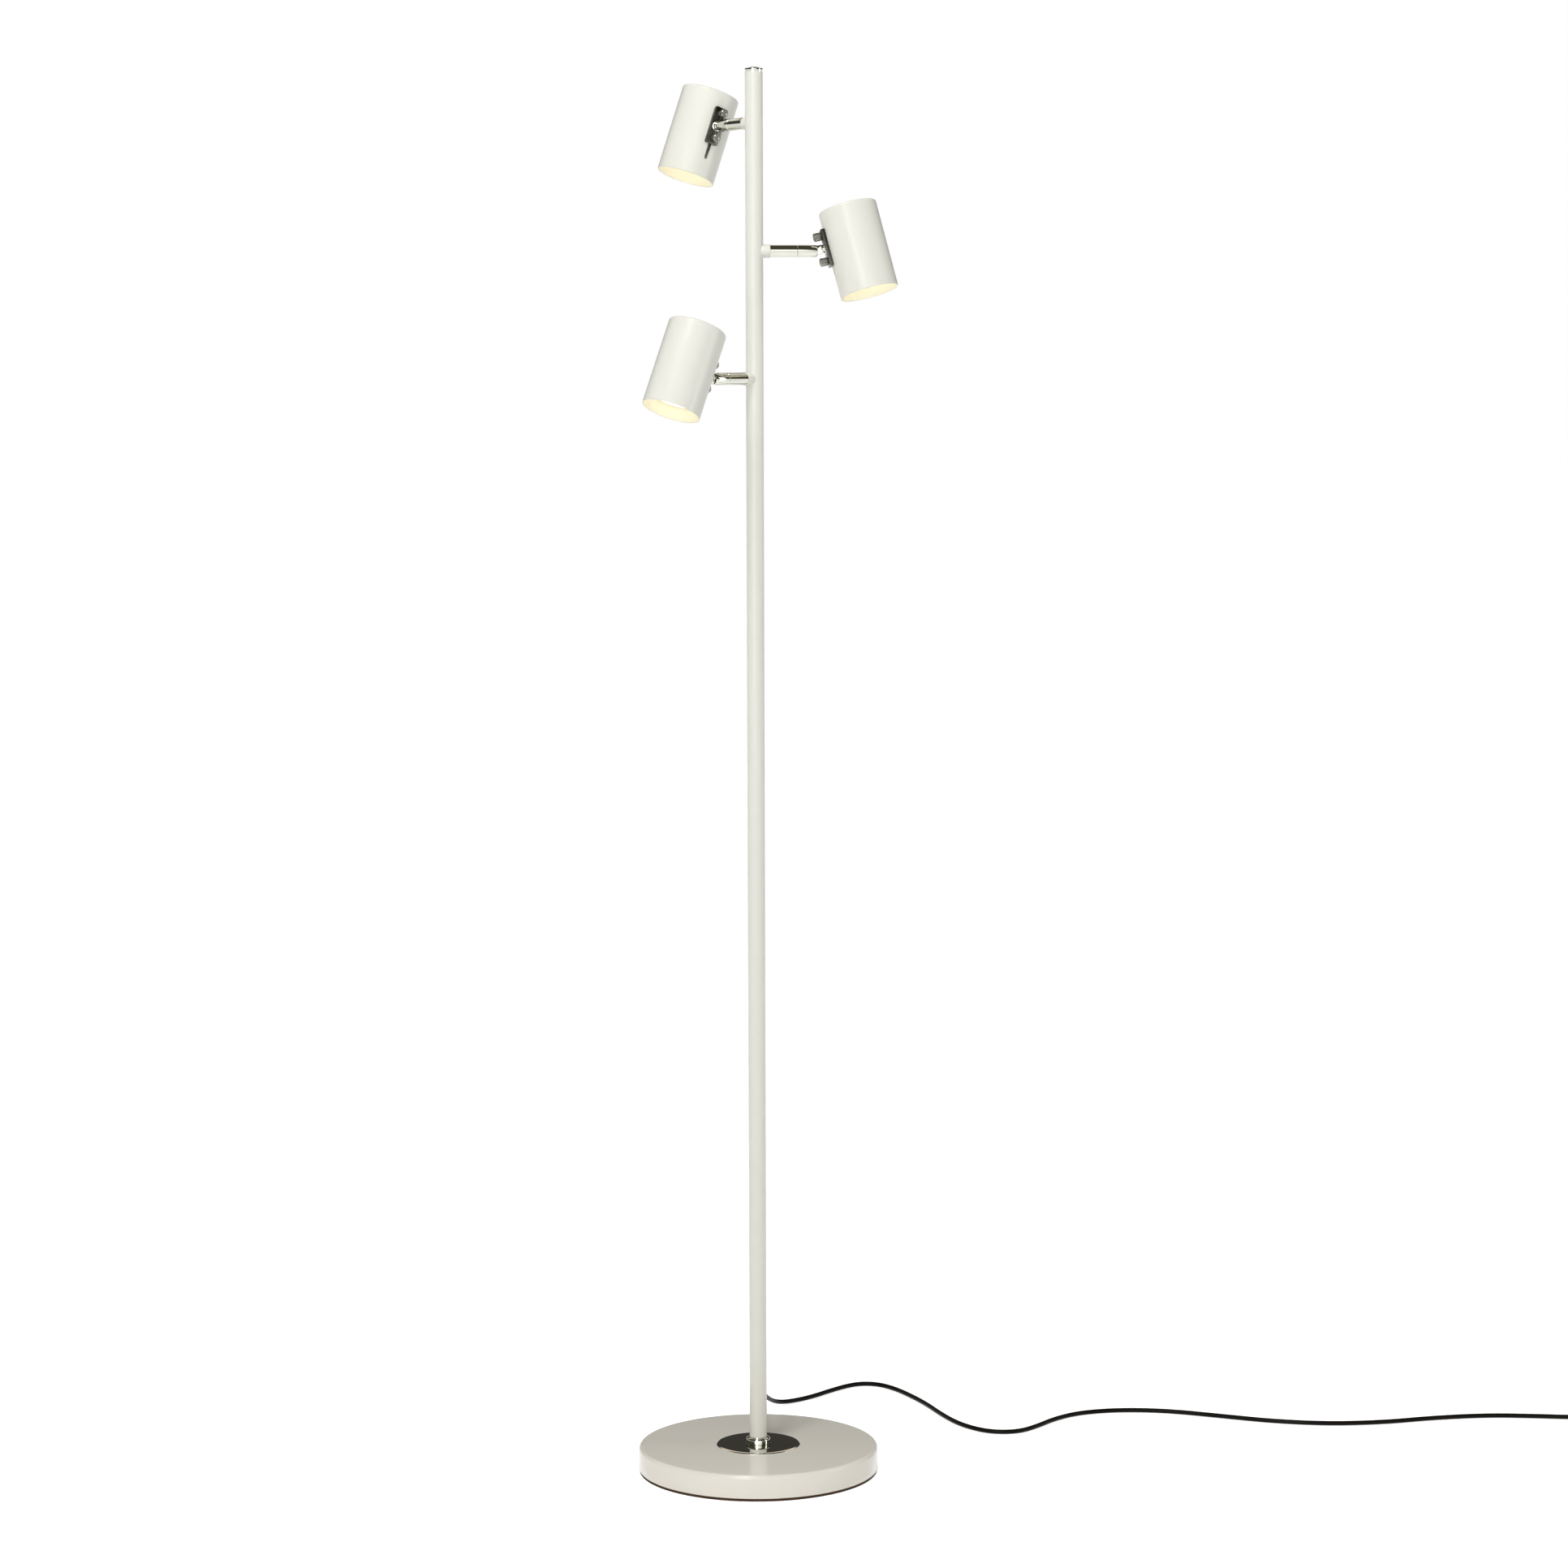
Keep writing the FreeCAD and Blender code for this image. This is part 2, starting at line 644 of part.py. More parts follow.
def make_bracket(number):
    tag = f"_{number}"
    place = head_frame(number)
    low = "-plate_length / 2"
    plate = block("plate_blank" + tag, ("plate_offset", "-plate_width / 2", low),
                  ("plate_thickness * 2", "plate_width", "plate_length"))
    corners = doc.addObject("Part::Fillet", "plate_corners" + tag)
    corners.Base = plate
    doc.recompute()
    long_edges = [k for k, edge in enumerate(plate.Shape.Edges, start=1)
                  if abs(edge.tangentAt(edge.FirstParameter).x) > 0.99]
    corners.Edges = [(k, size("plate_corner"), size("plate_corner")) for k in long_edges]
    seat = rod("plate_seat" + tag, "shade_dia / 2 + seat_gap", "plate_length * 2", "-plate_length", x=shade_axis())
    tongue_end = rod("tongue_end" + tag, "tongue_height / 2", "tongue_width", "-tongue_width / 2", "y")
    tongue = block("tongue_bar" + tag, ("0", "-tongue_width / 2", "-tongue_height / 2"),
                   ("plate_offset + 1", "tongue_width", "tongue_height"))
    neck = rod("neck" + tag, "neck_dia / 2", "plate_offset + 1 - neck_start", "neck_start", "x")
    blank = join("bracket_blank" + tag, corners, tongue_end, tongue, neck)
    holes = [
        rod("pivot_hole" + tag, "pivot_dia / 2 + running_gap", "tongue_width * 2", "-tongue_width", "y"),
        rod("lead_hole" + tag, "lead_dia / 2 + lead_gap", "plate_offset * 3", "pivot_dia", "x"),
    ]
    for side, height in (("upper", "screw_spacing / 2"), ("lower", "-screw_spacing / 2")):
        holes.append(rod(f"{side}_hole" + tag, "clamp_screw_dia / 2 + running_gap",
                         "plate_thickness * 4", "plate_offset - 1", "x", z=height))
    keep("head_bracket" + tag, cut("bracket" + tag, blank, seat, *holes), place)

    screws = []
    shank_end = f"{shade_axis()} - shade_dia / 2 + shade_wall + seat_gap + strip_sheet + clamp_nut_height"
    for side, height in (("upper", "screw_spacing / 2"), ("lower", "-screw_spacing / 2")):
        chamfer = doc.addObject("Part::Cone", f"{side}_tip" + tag)
        chamfer.Placement = FreeCAD.Placement(FreeCAD.Vector(), FreeCAD.Rotation(Y, 90))
        bind(chamfer, Radius1="thumb_dia / 2 - thumb_chamfer", Radius2="thumb_dia / 2", Height="thumb_chamfer")
        at(chamfer, x="plate_offset - thumb_length", z=height)
        knob = rod(f"{side}_knob" + tag, "thumb_dia / 2", "thumb_length - thumb_chamfer",
                   "plate_offset - thumb_length + thumb_chamfer", "x", z=height)
        shank = rod(f"{side}_shank" + tag, "clamp_screw_dia / 2", f"{shank_end} - plate_offset + 1",
                    "plate_offset - 1", "x", z=height)
        screws.append(join(f"{side}_screw" + tag, chamfer, knob, shank))
    keep("thumb_screws" + tag, group("screws" + tag, *screws), place)


def make_shade(number):
    tag = f"_{number}"
    top = "pivot_below_top"
    low = "pivot_below_top - shade_length"
    outer = "shade_dia / 2"
    inner = "shade_dia / 2 - shade_wall"
    shell = turned("shell" + tag, [
        ("0", top), (outer, top), (outer, low), (inner, low),
        (inner, top + " - shade_wall"), ("0", top + " - shade_wall"),
    ])
    radius = size("shade_dia") / 2
    wall = size("shade_wall")
    height = size("pivot_below_top")
    rounded(shell, "shell_outer_edge" + tag, "shade_round", (radius, height))
    rounded(shell, "shell_inner_edge" + tag, "shade_round - shade_wall", (radius - wall, height - wall))
    shell.Placement = FreeCAD.Placement(FreeCAD.Vector(), FreeCAD.Rotation())
    at(shell, x=shade_axis())
    slot_top = "screw_spacing / 2 + clamp_screw_dia / 2 + slot_above_screw - slot_width / 2"
    slot_low = "-plate_length / 2 - slot_below_plate + slot_width / 2"
    depth = ("plate_offset", "plate_thickness * 2 + shade_wall")
    middle = block("slot_middle" + tag, (depth[0], "-slot_width / 2", slot_low),
                   (depth[1], "slot_width", f"{slot_top} - ({slot_low})"))
    ends = [rod(f"slot_{end}" + tag, "slot_width / 2", depth[1], depth[0], "x", z=height)
            for end, height in (("top", slot_top), ("low", slot_low))]
    keep("shade" + tag, cut("shade_body" + tag, shell, middle, *ends), head_frame(number))


def make_carrier(number):
    tag = f"_{number}"
    place = head_frame(number)
    axis = shade_axis()
    strip_radius = "shade_dia / 2 - shade_wall - seat_gap"
    strip_low = "-strip_below_pivot"
    ring = cut(
        "strip_ring" + tag, rod("strip_outside" + tag, strip_radius, "shelf_height + strip_below_pivot", strip_low, x=axis),
        rod("strip_inside" + tag, strip_radius + " - strip_sheet", "shade_length * 2", "-shade_length", x=axis))
    window = block("strip_window" + tag, ("plate_offset", "-strip_width / 2", "-shade_length"),
                   ("plate_offset + strip_sheet", "strip_width", "shade_length * 2"))
    strip = overlap("strip" + tag, ring, window)
    shelf_start = f"{axis} - ({strip_radius}) + strip_sheet / 2"
    shelf = block("shelf" + tag, (shelf_start, "-strip_width / 2", "shelf_height - strip_sheet"),
                  (f"{strip_radius} - strip_sheet / 2 + shelf_past_axis", "strip_width", "strip_sheet"))
    nut_start = f"{axis} - ({strip_radius}) + strip_sheet / 2"
    nuts = [rod(f"clamp_nut_{side}" + tag, "clamp_nut_dia / 2", "strip_sheet / 2 + clamp_nut_height", nut_start, "x", z=height)
            for side, height in (("upper", "screw_spacing / 2"), ("lower", "-screw_spacing / 2"))]
    holes = [rod(f"clamp_thread_{side}" + tag, "clamp_screw_dia / 2 + thread_gap", "shade_dia / 2", "plate_offset", "x", z=height)
             for side, height in (("upper", "screw_spacing / 2"), ("lower", "-screw_spacing / 2"))]
    lead_hole = rod("strip_lead_hole" + tag, "lead_dia / 2 + lead_gap", "shade_dia / 4", "plate_offset", "x")
    keep("lamp_carrier" + tag, cut("carrier" + tag, join("carrier_blank" + tag, strip, shelf, *nuts), lead_hole, *holes), place)

    holder_low = "shelf_height - strip_sheet - holder_length"
    keep("lamp_holder" + tag, group(
        "holder" + tag, rod("holder_bar" + tag, "holder_dia / 2", "holder_length", holder_low, x=axis)), place)

    face = "pivot_below_top - shade_length + lamp_face_recess"
    cap_low = holder_low + " - lamp_cap_height"
    lamp = turned("lamp" + tag, [
        ("0", face), ("lamp_face_dia / 2 - lamp_face_bulge * 2", face), ("lamp_face_dia / 2", face + " + lamp_face_bulge"),
        ("lamp_face_dia / 2", face + " + lamp_rim_height"), ("lamp_cone_top_dia / 2", cap_low),
        ("lamp_cap_dia / 2", cap_low), ("lamp_cap_dia / 2", holder_low), ("0", holder_low),
    ])
    lamp.Placement = FreeCAD.Placement(FreeCAD.Vector(), FreeCAD.Rotation())
    at(lamp, x=axis)
    keep("bulb" + tag, group("bulb_body" + tag, lamp), place)

    bend = size("plate_offset") + size("plate_thickness") + size("shade_wall") + size("strip_sheet")
    bend += size("clamp_nut_height") + 6
    beside = size("plate_offset") + size("plate_thickness") + size("seat_gap")
    beside += size("shade_dia") / 2 - size("holder_dia") / 2
    level = size("shelf_height") - size("strip_sheet") - size("holder_length") / 2
    route = [(size("pivot_dia") + 0.5, 0, 0), (bend, 0, 0), (bend + 1.5, 0, level), (beside, 0, level)]
    wire, _ = route_wire(route)
    keep("head_lead" + tag, shaped("lead" + tag, tube(wire, size("lead_dia"))), place)


# ---- mains cord ----

def make_bushing():
    wall_inside = "pole_dia / 2 - pole_wall"
    neck = "bushing_hole_dia / 2"
    start = "pole_dia / 2"
    flange = "bushing_flange_dia / 2"
    flange_end = start + " + bushing_flange_thickness"
    bushing = turned("bushing", [
        ("0", wall_inside), (neck, wall_inside), (neck, start), (flange, start), (flange, flange_end),
        ("bushing_hole_dia / 2", flange_end), ("bushing_tip_dia / 2", "bushing_reach"), ("0", "bushing_reach"),
    ])
    place = FreeCAD.Placement(FreeCAD.Vector(0, 0, size("cord_exit_height")), FreeCAD.Rotation(X, -90))
    keep("cord_bushing", bushing, place)


def make_cord_run():
    wire, radii = route_wire(CORD_ROUTE)
    print("cord run: length %.0f mm, radii" % wire.Length, [round(radius) for radius in radii])
    keep("cord_run", shaped("run", tube(wire, size("cord_dia"))))
    return wire.Length


def coil_station(angle):
    """Place and heading on the coil: it spirals in, climbs in the half turn that reverses it, and spirals out."""
    whole = 2 * math.pi * size("coil_turns")
    rate = size("coil_pitch") / (2 * math.pi)
    turn_start = whole / 2 - math.pi / 2
    turn_end = whole / 2 + math.pi / 2
    inner = size("coil_radius") - rate * turn_start
    step = size("coil_pitch")
    if angle <= turn_start:
        radius, slope, height, climb = size("coil_radius") - rate * angle, -rate, 0.0, 0.0
    elif angle >= turn_end:
        radius, slope, height, climb = inner + rate * (angle - turn_end), rate, step, 0.0
    else:
        share = (angle - turn_start) / math.pi
        radius = inner - rate * math.pi * (share - share ** 2)
        slope = -rate * (1 - 2 * share)
        height = step * (3 * share ** 2 - 2 * share ** 3)
        climb = step * 6 * (share - share ** 2) / math.pi
    c = math.cos(angle - math.pi / 2)
    s = math.sin(angle - math.pi / 2)
    place = FreeCAD.Vector(radius * c, radius * s, height)
    heading = FreeCAD.Vector(slope * c - radius * s, slope * s + radius * c, climb)
    return place, heading.normalize()


def make_coil():
    """The put-away coil, from the foot switch to the top of its last turn."""
    switch_end = FreeCAD.Vector(*CORD_ROUTE[-1]) + X * size("switch_length")
    centre = switch_end + X * size("coil_lead_in") + Y * size("coil_radius")
    centre.z = CORD_FLOOR
    straight = size("cord_dia")
    first, heading = coil_station(0)
    stations = [
        (switch_end, X),
        (switch_end + X * straight, X),
        (centre + first - heading * straight, heading),
        (centre + first, heading),
    ]
    quarters = round(size("coil_turns") * 4)
    for k in range(1, quarters + 1):
        place, heading = coil_station(k * math.pi / 2)
        stations.append((centre + place, heading))
    last, heading = stations[-1]
    stations.append((last + heading * straight, heading))
    edges = []
    for (start, ahead), (end, leaving) in zip(stations, stations[1:]):
        edges += biarc(start, ahead, end, leaving)
    wire = Part.Wire(Part.__sortEdges__(edges))
    gap = coil_gap(wire)
    print("coil: length %.0f mm, least gap to itself %.2f mm" % (wire.Length, gap))
    keep("cord_coil", shaped("coil", tube(wire, size("cord_dia"))))
    return wire.Length, stations[-1]


def coil_gap(wire):
    """The least gap between stretches of the coil that are more than half a turn apart."""
    spacing = 2.0
    points = wire.discretize(Distance=spacing)
    apart = int(math.pi * size("coil_radius") * 0.5 / spacing)
    least = min(
        points[a].distanceToPoint(points[b])
        for a in range(len(points)) for b in range(a + apart, len(points)))
    return least - size("cord_dia")


def make_tail(start, heading):
    """The last of the cord, from the coil to the plug that lies beside it."""
    plug_height = size("plug_thickness") / 2
    side = FreeCAD.Vector(heading.y, -heading.x, 0)
    ahead = FreeCAD.Vector(heading.x, heading.y, 0).normalize()
    second = start + ahead * 12
    third = start + ahead * 26 + side * 1.5
    third.z = plug_height
    end = third + ahead * 12
    wire, radii = route_wire([tuple(point) for point in (start, second, third, end)])
    print("cord tail: length %.0f mm, radii" % wire.Length, [round(radius) for radius in radii])
    keep("cord_tail", shaped("tail", tube(wire, size("cord_dia"))))
    return wire.Length, end, ahead


def make_plug(place, ahead):
    angle = math.degrees(math.atan2(ahead.y, ahead.x))
    frame = FreeCAD.Placement(FreeCAD.Vector(place.x, place.y, 0), FreeCAD.Rotation(Z, angle))
    body = doc.addObject("PartDesign::Body", "plug_body")
    pad = body.newObject("PartDesign::Pad", "plug_pad")
    half, back = "plug_width / 2", "plug_back_width / 2"
    pad.Profile = outline(body, "plug_outline", "XY_Plane", [
        ("0", back), ("plug_shoulder", half), ("plug_length", half),
        ("plug_length", "-" + half), ("plug_shoulder", "-" + half), ("0", "-" + back),
    ])
    bind(pad, Length="plug_thickness")
    doc.recompute()
    edge = body.newObject("PartDesign::Fillet", "plug_edges")
    edge.Base = (pad, ["Face%d" % k for k, face in enumerate(pad.Shape.Faces, start=1)
                       if abs(face.normalAt(0, 0).z) > 0.99])
    bind(edge, Radius="plug_edge")
    doc.recompute()
    keep("mains_plug", body, frame)
    pins = [rod(f"pin_{side}", "pin_dia / 2", "pin_length", "plug_length", "x", y=y, z="plug_thickness / 2")
            for side, y in (("left", "pin_spacing / 2"), ("right", "-pin_spacing / 2"))]
    keep("plug_pins", group("pins", *pins), frame)


def make_switch():
    start = FreeCAD.Vector(*CORD_ROUTE[-1])
    frame = FreeCAD.Placement(FreeCAD.Vector(start.x, start.y, 0), FreeCAD.Rotation())
    box = block("switch_box", ("0", "-switch_width / 2", "0"), ("switch_length", "switch_width", "switch_height"))
    doc.recompute()
    upright = doc.addObject("Part::Fillet", "switch_corners")
    upright.Base = box
    corners = [k for k, edge in enumerate(box.Shape.Edges, start=1)
               if abs(edge.tangentAt(edge.FirstParameter).z) > 0.99]
    upright.Edges = [(k, size("switch_corner"), size("switch_corner")) for k in corners]
    doc.recompute()
    rim = doc.addObject("Part::Fillet", "switch_rim")
    rim.Base = upright
    top = [k for k, edge in enumerate(upright.Shape.Edges, start=1)
           if edge.BoundBox.ZMin > size("switch_height") - 1e-3]
    rim.Edges = [(k, size("switch_edge"), size("switch_edge")) for k in top]
    well = rod("switch_well", "button_dia / 2 + button_gap", "button_well + 1", "switch_height - button_well",
               x="switch_length / 2")
    keep("foot_switch_body", cut("switch", rim, well), frame)
    button = turned("button", [
        ("0", "0"), ("button_dia / 2", "0"), ("button_dia / 2", "button_height"), ("0", "button_height")])
    rounded(button, "button_edge", "button_proud / 3", (size("button_dia") / 2, size("button_height")))
    lift = size("switch_height") + size("button_proud") - size("button_height")
    middle = FreeCAD.Vector(start.x + size("switch_length") / 2, start.y, lift)
    keep("foot_switch_button", button, FreeCAD.Placement(middle, FreeCAD.Rotation()))


make_base()
make_pole()
make_wiring()
for arm in AZIMUTH:
    make_arm(arm)
    make_bracket(arm)
    make_shade(arm)
    make_carrier(arm)
make_bushing()
make_switch()
run_length = make_cord_run()
coil_length, (coil_end, coil_heading) = make_coil()
tail_length, plug_place, plug_heading = make_tail(coil_end, coil_heading)
make_plug(plug_place, plug_heading)
doc.recompute()
whole_cord = run_length + size("switch_length") + coil_length + tail_length
print("whole cord, switch included: %.0f mm" % whole_cord)

failed = [item.Name for item in doc.Objects if "Invalid" in item.State or "Error" in item.State]
for node, item in nodes.items():
    shape = item.Shape
    if shape.isNull() or not shape.isValid() or not shape.Solids or shape.Volume <= 0:
        failed.append(node)
if failed:
    raise RuntimeError("failed: " + ", ".join(failed))
os.makedirs("parts", exist_ok=True)
for node, item in nodes.items():
    item.Shape.exportStep(f"parts/{node}.step")
print(len(nodes), "sub-parts written")
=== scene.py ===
# %% [markdown]
# # A tree floor lamp with three spot shades
# The lamp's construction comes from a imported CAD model, already at its real size and in metres.
# This script gives it its looks: it dresses the hidden parts with materials, and models a finer
# copy of each part that shows. Every new piece says which moving body it rides on.

# %% Load the frame
import json
import math

import bpy
from mathutils import Matrix, Vector


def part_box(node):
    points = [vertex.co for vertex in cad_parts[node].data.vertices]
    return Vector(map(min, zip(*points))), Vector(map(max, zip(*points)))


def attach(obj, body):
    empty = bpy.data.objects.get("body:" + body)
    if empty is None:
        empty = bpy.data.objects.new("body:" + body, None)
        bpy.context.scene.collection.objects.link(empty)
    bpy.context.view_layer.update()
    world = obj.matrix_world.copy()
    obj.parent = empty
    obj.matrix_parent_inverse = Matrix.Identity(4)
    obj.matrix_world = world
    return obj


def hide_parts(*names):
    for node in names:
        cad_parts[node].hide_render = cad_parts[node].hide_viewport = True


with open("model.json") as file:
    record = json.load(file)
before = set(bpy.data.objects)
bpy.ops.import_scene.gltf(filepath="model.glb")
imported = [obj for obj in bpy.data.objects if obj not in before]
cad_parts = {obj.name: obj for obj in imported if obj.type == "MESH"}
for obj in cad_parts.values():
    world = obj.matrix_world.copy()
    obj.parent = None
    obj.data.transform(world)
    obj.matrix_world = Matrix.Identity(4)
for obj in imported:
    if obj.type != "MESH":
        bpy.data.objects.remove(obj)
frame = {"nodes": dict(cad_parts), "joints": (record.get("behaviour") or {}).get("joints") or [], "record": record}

scene = bpy.context.scene
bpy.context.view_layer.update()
joints = {joint["name"]: joint for joint in frame["joints"]}
ARMS = (1, 2, 3)

# %% [markdown]
# ## The camera
# The photograph was taken from about four metres away with a long lens, a little above the middle
# of the lamp and looking slightly down. The camera comes first, because the cord has to leave its
# view before it is coiled.

# %% Camera
CAMERA_PLACE = Vector((0.0007, -4.2, 1.1565))
LOOKING_DOWN = math.radians(5.92)
TURNED = math.radians(-0.382)
ROLLED = math.radians(0.151)
LENS = 94.2
SENSOR = 36.0


def frame_at(place, x, y, z):
    """The matrix of a frame that stands at a place and has these three directions as its axes."""
    return Matrix.Translation(place) @ Matrix((x, y, z)).transposed().to_4x4()


def add_camera():
    heading = Vector((0, math.cos(LOOKING_DOWN), -math.sin(LOOKING_DOWN)))
    heading.rotate(Matrix.Rotation(TURNED, 3, "Z"))
    right = heading.cross(Vector((0, 0, 1))).normalized()
    right.rotate(Matrix.Rotation(ROLLED, 3, heading))
    up = right.cross(heading)
    camera = bpy.data.objects.new("camera", bpy.data.cameras.new("camera"))
    scene.collection.objects.link(camera)
    camera.matrix_world = frame_at(CAMERA_PLACE, right, up, -heading)
    camera.data.lens = LENS
    camera.data.sensor_width = SENSOR
    camera.data.clip_end = 200
    scene.camera = camera
    return camera


camera = add_camera()
print("camera at", tuple(round(v, 3) for v in camera.location), "lens", LENS, "mm")

# %% [markdown]
# ## The mains cord
# A cord is one smooth line with a round section, so it is a curve with a bevel, not a mesh. It
# leaves the pole's back, droops behind the base, waves across the floor and runs out of the view.
# There it passes through the foot switch, and the rest is wound into a small coil of two layers.
# The control points are those of the CAD cord.

# %% Cord route
CORD_THICKNESS = 0.005
ON_FLOOR = 0.0026
CORD_EXIT = (0, 0.033, 0.076)
AIR_ROUTE = [
    CORD_EXIT, (0, 0.054, 0.076), (0.0005, 0.096, 0.069), (0.002, 0.145, 0.054),
    (0.005, 0.190, 0.034), (0.010, 0.228, 0.017), (0.021, 0.256, 0.005),
]
FLOOR_ROUTE = [
    (0.038, 0.2706), (0.0606, 0.2898), (0.0832, 0.319), (0.1065, 0.3434), (0.1229, 0.3476),
    (0.1389, 0.3418), (0.1555, 0.3216), (0.1722, 0.2887), (0.1872, 0.2536), (0.2021, 0.2076),
    (0.2191, 0.1681), (0.2422, 0.141), (0.2632, 0.1335), (0.2845, 0.1383), (0.3044, 0.1605),
    (0.3239, 0.1887), (0.3521, 0.2138), (0.395, 0.226), (0.448, 0.222), (0.502, 0.200),
    (0.558, 0.176), (0.618, 0.163), (0.680, 0.168), (0.738, 0.186), (0.797, 0.196), (0.850, 0.192),
]
SWITCH_ROUTE = [(0.893, 0.1845, 0.0029), (0.914, 0.184, 0.0044), (0.930, 0.184, 0.0044)]
CORD_ROUTE = AIR_ROUTE + [(x, y, ON_FLOOR) for x, y in FLOOR_ROUTE] + SWITCH_ROUTE
SWITCH_START = Vector(CORD_ROUTE[-1])
SWITCH_LENGTH = 0.078
SWITCH_END = SWITCH_START + Vector((SWITCH_LENGTH, 0, 0))

# %% [markdown]
# The coil's control points follow from a few sizes: it spirals in, climbs by one cord in the half
# turn where it reverses, and spirals out again on top. Control points stand a little outside the
# line that they make, so their radius is divided by the cosine of half their spacing.

# %% Coil and tail
COIL_RADIUS = 0.030
COIL_PITCH = 0.0056
COIL_TURNS = 3.25
COIL_LEAD_IN = 0.034
POINTS_PER_TURN = 16
PLUG_THICKNESS = 0.0137
TAIL_STRAIGHT = 0.005     # along the tail from the coil's end: where it still lies level
TAIL_RISE = 0.017         # where it starts to climb to the plug
TAIL_LENGTH = 0.031
TAIL_SIDESTEP = 0.0015
TAIL_INTO_PLUG = 0.012
COIL_CENTRE = Vector((SWITCH_END.x + COIL_LEAD_IN, SWITCH_END.y + COIL_RADIUS, ON_FLOOR))


def coil_place(angle, outside=1.0):
    """A place on the coil at this angle from its start, in radians."""
    whole = 2 * math.pi * COIL_TURNS
    rate = COIL_PITCH / (2 * math.pi)
    turn_start = whole / 2 - math.pi / 2
    inner = COIL_RADIUS - rate * turn_start
    share = min(max((angle - turn_start) / math.pi, 0), 1)
    if share == 0:
        radius = COIL_RADIUS - rate * angle
    elif share == 1:
        radius = inner + rate * (angle - turn_start - math.pi)
    else:
        radius = inner - rate * math.pi * (share - share ** 2)
    height = COIL_PITCH * (3 * share ** 2 - 2 * share ** 3)
    around = angle - math.pi / 2
    radius *= outside
    return COIL_CENTRE + Vector((radius * math.cos(around), radius * math.sin(around), height))


step = 2 * math.pi / POINTS_PER_TURN
coil_points = [coil_place((k + 0.5) * step, 1 / math.cos(step / 2))
               for k in range(round(COIL_TURNS * POINTS_PER_TURN))]
coil_end = coil_place(2 * math.pi * COIL_TURNS)
coil_heading = (coil_end - coil_place(2 * math.pi * COIL_TURNS - 0.001)).normalized()
tail_side = Vector((coil_heading.y, -coil_heading.x, 0))
tail_corner = coil_end + coil_heading * TAIL_LENGTH + tail_side * TAIL_SIDESTEP
tail_corner.z = PLUG_THICKNESS / 2
plug_start = tail_corner + coil_heading * TAIL_INTO_PLUG
tail_points = [coil_end + coil_heading * TAIL_STRAIGHT, coil_end + coil_heading * TAIL_RISE]
tail_points += [tail_corner, plug_start]
cord_points = [Vector(point) for point in CORD_ROUTE]
cord_points += [SWITCH_START.lerp(SWITCH_END, 0.5), SWITCH_END, SWITCH_END + Vector((0.012, 0, -0.0006))]
cord_points += coil_points + tail_points
print(len(cord_points), "control points on the cord")

# %% Cord curve


def smooth_line(name, points, thickness):
    """An open round-sectioned curve that runs smoothly past its control points.

    A point's radius scales the bevel and also widens the curve's own box, so the thickness is put
    there and the bevel is left at one metre.
    """
    curve = bpy.data.curves.new(name, "CURVE")
    curve.dimensions = "3D"
    line = curve.splines.new("NURBS")
    line.points.add(len(points) - 1)
    for point, place in zip(line.points, points):
        point.co = (*place, 1)
        point.radius = thickness / 2
    line.order_u = 3
    line.use_endpoint_u = True
    line.resolution_u = 6
    curve.bevel_depth = 1.0
    curve.bevel_resolution = 5
    curve.use_fill_caps = True
    piece = bpy.data.objects.new(name, curve)
    scene.collection.objects.link(piece)
    return piece


mains_cord = smooth_line("mains_cord", cord_points, CORD_THICKNESS)
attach(mains_cord, "stand")

# %% [markdown]
# ## Tools for the modelling
# Almost every part of this lamp is turned or drawn metal, so one helper does most of the work: it
# extrudes a circle and scales it ring by ring along an outline. Others bevel the corners, cut one
# piece with another and carry a piece to its place.

# %% Modelling tools
CHAMFER = 0.0002     # the small corner that most turned parts have
FIT = 0.00002        # between a piece and what it sits on or in


def pick(*pieces):
    """Select these objects alone, with the first one active."""
    bpy.ops.object.select_all(action="DESELECT")
    for piece in pieces:
        piece.select_set(True)
    bpy.context.view_layer.objects.active = pieces[0]


def mode(name):
    bpy.ops.object.mode_set(mode=name)


def name_new(name):
    piece = bpy.context.object
    piece.name = name
    piece.data.name = name
    return piece


def apply_modifier(piece, kind, **settings):
    pick(piece)
    modifier = piece.modifiers.new(kind.lower(), kind)
    for setting, value in settings.items():
        setattr(modifier, setting, value)
    bpy.ops.object.modifier_apply(modifier=modifier.name)
    return piece


def bevelled(piece, width, segments=3, corner=40):
    """Round every edge that is sharper than the corner angle, and shade the rest smooth."""
    if width:
        apply_modifier(piece, "BEVEL", width=width, segments=segments, limit_method="ANGLE",
                       angle_limit=math.radians(corner), use_clamp_overlap=True)
    pick(piece)
    bpy.ops.object.shade_smooth_by_angle(angle=math.radians(corner))
    return piece


def extrude_up(rise):
    bpy.ops.mesh.extrude_region_move(TRANSFORM_OT_translate={"value": (0, 0, rise)})


